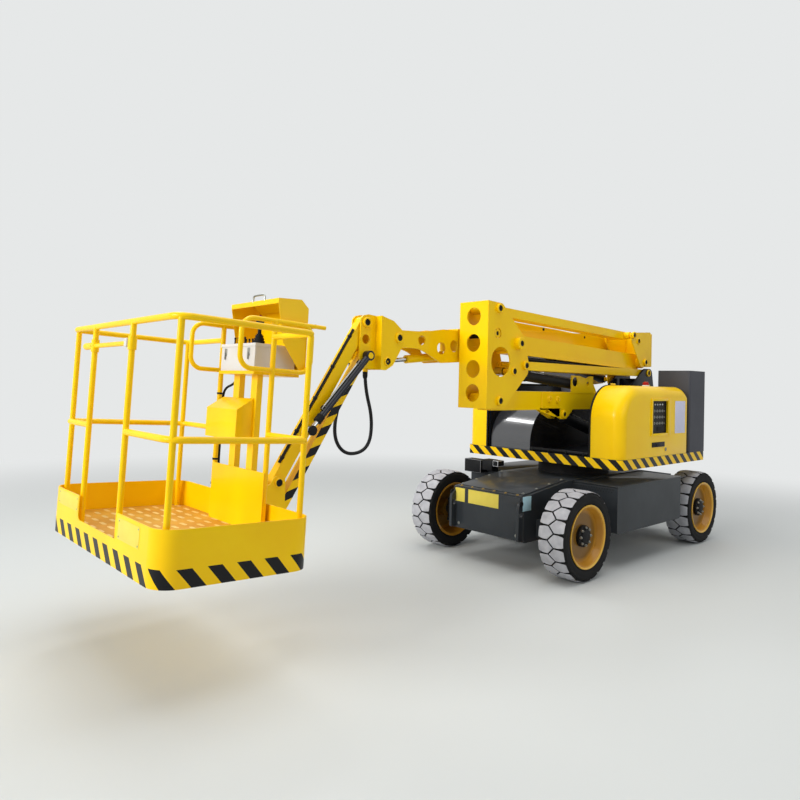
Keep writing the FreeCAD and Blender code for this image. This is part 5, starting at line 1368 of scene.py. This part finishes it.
bm = bmesh.new()
floor_outline = []
for corner_x, corner_y, start in ((1, 1, 0), (-1, 1, 90), (-1, -1, 180), (1, -1, 270)):
    middle = (corner_x * (HALF_LONG - FLOOR_CORNER), corner_y * (HALF_WIDE - FLOOR_CORNER))
    floor_outline += corner_arc(middle, FLOOR_CORNER, start, start + 90, 6)
slab(bm, "z", floor_outline, FLOOR_LEVEL - 0.0005, FLOOR_LEVEL + 0.0015, 0, basket, 0.0004)
finish_piece("platform_floor_sheet", bm, [floor_brown], "platform")
bm = bmesh.new()
slab(bm, "z", [(x - 0.345, y - 0.700) for x, y in oblong(0.078, 0.024)], FLOOR_LEVEL + 0.0012,
     FLOOR_LEVEL + 0.0022, chamfer=0)
grid_piece("platform_floor_slots", bm, SLOT_COLUMNS, SLOT_ROWS, (0, 0.132, 0), (0.0765, 0, 0), slot_pale,
           "platform",
           "yellow_paint", 0.5, basket)
bm = bmesh.new()
for low, high in (((-0.650, 0.172), (-0.310, 0.252)), ((0.316, 0.143), (0.580, 0.243))):
    box(bm, (TOE_FACE, *low), (TOE_FACE + 0.0014, *high), 0.0005, 0, basket)
    for y in (low[0] + RIVET_INSET, high[0] - RIVET_INSET):
        for z in (low[1] + RIVET_INSET, high[1] - RIVET_INSET):
            lathe(bm, [(0.004, 0.0012), (0.0035, 0.003), (0, 0.003)], (TOE_FACE, y, z), "x", 1, 10, basket)
finish_piece("toe_board_plates", bm, [plate_yellow, zinc], "platform")
print("floor slots:", SLOT_COLUMNS * SLOT_ROWS)

# %% [markdown]
# The operator steers with a joystick in a pleated rubber boot, beside two rows of toggles. The
# boot's pleats are rings that shrink and swell on their way up. A single bumpy profile would do
# too, but separate rings leave the sharp creases that a folded rubber has.

# %% The controls on the platform
STICK_PLACE = (-0.400, 0.120, 1.165)
BOX_TOP = STICK_PLACE[2]
PLEATS = (0.040, 0.034, 0.036, 0.029, 0.031, 0.024, 0.025, 0.018)
PLEAT_STEP = 0.008
STICK = [(0, 0.060), (0.011, 0.060), (0.010, 0.090), (0.018, 0.100), (0.024, 0.122), (0.023, 0.150),
         (0.016, 0.170), (0, 0.175)]
LEVER = [(0.010, 0), (0.010, 0.006), (0.004, 0.008), (0.0036, 0.030), (0.006, 0.036), (0.005, 0.044),
         (0, 0.046)]
bm = bmesh.new()
for step, radius in enumerate(PLEATS):
    level = step * PLEAT_STEP
    lathe(bm, [(0, level), (radius, level), (radius * 0.94, level + 0.0082), (0, level + 0.0082)],
          STICK_PLACE, "z", 0, 28, basket)
lathe(bm, STICK, STICK_PLACE, "z", 0, 24, basket)
lathe(bm, [(0, 0.173), (0.007, 0.173), (0.007, 0.178), (0, 0.179)], STICK_PLACE, "z", 1, 12, basket)
lathe(bm, [(0.052, 0), (0.052, 0.003), (0, 0.003)], STICK_PLACE, "z", 2, 32, basket)
box(bm, (-0.500, -0.120, BOX_TOP), (-0.340, 0.050, BOX_TOP + 0.002), 0.0006, 2, basket)
finish_piece("joystick_and_panel", bm, [tyre_black, lens_red, cast_black], "platform")
grid_piece("control_toggles", turned(LEVER, (-0.360, -0.095, BOX_TOP + 0.002), "z", 14), 4, 2,
           (0, 0.040, 0),
           (-0.075, 0, 0), black_plastic, "platform", "panel_black", matrix=basket)
print("boot pleats:", len(PLEATS))

# %% [markdown]
# The control box has two box latches and its cover a carrying handle of bent bar. A cable runs
# from the box down one post, held by cable ties, and the entry bar closes against a latch block.
# The handle and the cable are lines swept by the hose tree with no ribs, which bends them as
# evenly as a pipe bender or a cable's own stiffness would.

# %% Latches, handle and cable
BOX_FRONT_FACE = -0.307
HANDLE_PLACE = -0.400
HANDLE_ROUTE = ((0.022, 1.424), (0.022, 1.452), (0.030, 1.464), (0.088, 1.464), (0.147, 1.464),
                (0.155, 1.452),
                (0.155, 1.424))
POST_PLACE = (-0.370, -0.267, 0)
POST_CLEAR = 0.0155 + 0.008
bm = bmesh.new()
for y in (-0.097, 0.176):
    box(bm, (BOX_FRONT_FACE, y - 0.012, 1.092), (BOX_FRONT_FACE + 0.005, y + 0.012, 1.138), 0.0015, 0,
        basket)
    box(bm, (BOX_FRONT_FACE + 0.004, y - 0.005, 1.072), (BOX_FRONT_FACE + 0.008, y + 0.005, 1.112), 0.001,
        1, basket)
finish_piece("control_box_latches", bm, [zinc, cast_black], "platform")
handle_line = spline("cover_handle_line", [basket @ Vector((HANDLE_PLACE, y, z)) for y, z in HANDLE_ROUTE])
settle("cover_handle", hose_mesh(handle_line, 0.0055, 0.0, 0.012, zinc), "platform")
post_frame = basket @ Matrix.Translation(POST_PLACE)
laid_line("stand_cable", post_frame, [
    (-0.060, 0.110, 0.975), (-0.055, 0.085, 0.930), (-0.030, 0.012, 0.905), (-POST_CLEAR, -0.004, 0.840),
    (-POST_CLEAR - 0.004, 0.004, 0.700), (-POST_CLEAR - 0.001, -0.003, 0.520),
    (-POST_CLEAR - 0.004, 0.003, 0.300), (-POST_CLEAR, 0.0, 0.115)], 0.0075, "platform")
bm = bmesh.new()
for level in (0.86, 0.74, 0.60, 0.45, 0.30):
    lathe(bm, [(0.0158, level), (0.0175, level), (0.0175, level + 0.012), (0.0158, level + 0.012),
               (0.0158, level)], (0, 0, 0), "z", 0, 20, post_frame)
finish_piece("stand_cable_ties", bm, [black_plastic], "platform")
box_piece("entry_latch_block", [((0.345, 0.178, 1.070), (0.400, 0.212, 1.116), 0.005)], light_grey,
          "entry_bar",
          basket)
print("handle points:", len(HANDLE_ROUTE))

# %% [markdown]
# The studio is a pale floor with lamps so large that shadows stay soft and the glossy paint
# shows long, calm reflections. A bright background could come from more light, but that would
# wash out the machine. So what the camera and the reflections see behind it is a separate white:
# the floor keeps its shadow near the machine and fades into that white far away.

# %% Floor
FLOOR_HEX, BACKGROUND_HEX = "D2D5D3", "E6E8E8"
FLOOR_RADIUS, FLOOR_SPECULAR = 60, 0.1
FADE_MIDDLE = (2.0, 0, 0)
FADE_START, FADE_END = 3.6, 9.5


def studio_floor_finish():
    """Pale matt paint that fades into the background's colour with distance."""
    material, tree, shader, place = start_material("studio floor", 0.6)
    shader["Base Color"].default_value = linear(FLOOR_HEX)
    shader["Specular IOR Level"].default_value = FLOOR_SPECULAR
    reach = add(tree, "ShaderNodeVectorMath", {0: place}, {1: FADE_MIDDLE}, operation="DISTANCE")["Value"]
    far = add(tree, "ShaderNodeMapRange", {"Value": reach}, {"From Min": FADE_START, "From Max": FADE_END},
              interpolation_type="SMOOTHSTEP")["Result"]
    path = add(tree, "ShaderNodeLightPath")
    seen = add(tree, "ShaderNodeMath", {0: path["Is Camera Ray"], 1: path["Is Glossy Ray"]},
               operation="MAXIMUM")[0]
    fade = add(tree, "ShaderNodeMath", {0: far, 1: seen}, operation="MULTIPLY")[0]
    glow = add(tree, "ShaderNodeEmission", values={"Color": linear(BACKGROUND_HEX), "Strength": 1.0})[0]
    output = tree.nodes["Material Output"].inputs["Surface"]
    both = add(tree, "ShaderNodeMixShader", {0: fade, 1: output.links[0].from_socket, 2: glow})[0]
    tree.links.new(both, output)
    return material


bm = bmesh.new()
bmesh.ops.create_circle(bm, cap_ends=True, segments=96, radius=FLOOR_RADIUS)
floor = bpy.data.objects.new("floor", plain_mesh("floor", bm))
bpy.context.collection.objects.link(floor)
floor.data.materials.append(studio_floor_finish())
print("floor fades from", FADE_START, "to", FADE_END, "m")

# %% World and lamps
WORLD_TINT = (0.95, 0.97, 1, 1)
WORLD_STRENGTH = 0.30
LAMPS = {
    "ceiling_lamp": ((1.5, 0.5, 7.0), (1.5, 0, 0), (9, 6), 330),
    "front_lamp": ((15.0, -2.0, 5.5), (2.0, 0, 1.0), (7, 5), 1450),
    "side_lamp": ((0.5, 8.0, 4.0), (1.0, 0, 1.0), (6, 3), 90),
    "strip_lamp": ((2.6, -4.8, 6.4), (0.45, -0.3, 1.2), (2.6, 0.6), 80),
}


def make_world():
    """A soft grey sky for light, and white where the camera, gloss or glass looks at it."""
    world = bpy.data.worlds.new("studio")
    world.use_nodes = True
    tree = world.node_tree
    path = add(tree, "ShaderNodeLightPath")
    seen = path["Is Camera Ray"]
    for ray in ("Is Glossy Ray", "Is Transmission Ray"):
        seen = add(tree, "ShaderNodeMath", {0: seen, 1: path[ray]}, operation="MAXIMUM")[0]
    soft = add(tree, "ShaderNodeBackground",
               values={"Color": WORLD_TINT, "Strength": WORLD_STRENGTH})[0]
    white = add(tree, "ShaderNodeBackground", values={"Color": linear(BACKGROUND_HEX), "Strength": 1.0})[0]
    both = add(tree, "ShaderNodeMixShader", {0: seen, 1: soft, 2: white})[0]
    tree.links.new(both, tree.nodes["World Output"].inputs["Surface"])
    return world


def area_lamp(name, place, target, size, power):
    """A rectangular lamp that looks at a target."""
    data = bpy.data.lights.new(name, "AREA")
    data.shape = "RECTANGLE"
    data.size, data.size_y = size
    data.energy = power
    lamp = bpy.data.objects.new(name, data)
    lamp.location = place
    lamp.rotation_euler = (Vector(target) - Vector(place)).to_track_quat("-Z", "Y").to_euler()
    bpy.context.collection.objects.link(lamp)


bpy.context.scene.world = make_world()
bpy.context.scene.view_settings.view_transform = "Standard"
for name, values in LAMPS.items():
    area_lamp(name, *values)
print("lamps:", ", ".join(LAMPS))

# %% [markdown]
# The solids come without a finish. A few have one of their own; the rest follow from what they
# are, which their names tell: tyres are rubber, rims gold, rods chrome and barrels black, and
# all other steel is machine yellow. A rule keeps the table short and catches every part.

# %% Finishes on the solids
FINISH = {
    "chassis": charcoal, "slew_ring": cast_black, "knuckle_left": charcoal, "knuckle_right": charcoal,
    "turntable": skirt_stripes, "counterweight_left": battery_grey, "counterweight_right": battery_grey,
    "battery_pack_left": battery_grey, "battery_pack_right": battery_grey,
    "ground_controls": black_plastic, "inner_cover": black_sheet, "platform_tray": tray_stripes,
    "jib_lower_bar": jib_stripes, "control_box": light_grey, "jib_hose": hose_black, "jib_cylinder": navy,
}
BY_START = {"tyre": tyre_black, "rim": wheel_gold}
BY_END = {"cylinder": black_plastic, "rod": chrome}


def finish_of(name):
    """A solid's finish, from its own entry, the start or the end of its name, or plain yellow."""
    by_name = [FINISH[name]] if name in FINISH else []
    by_name += [finish for start, finish in BY_START.items() if name.startswith(start)]
    by_name += [finish for end, finish in BY_END.items() if name.endswith(end)]
    return (by_name + [yellow])[0]


for name, node in nodes.items():
    node.data.materials.clear()
    node.data.materials.append(finish_of(name))
print("solids in machine yellow:", sum(finish_of(name) == yellow for name in nodes))
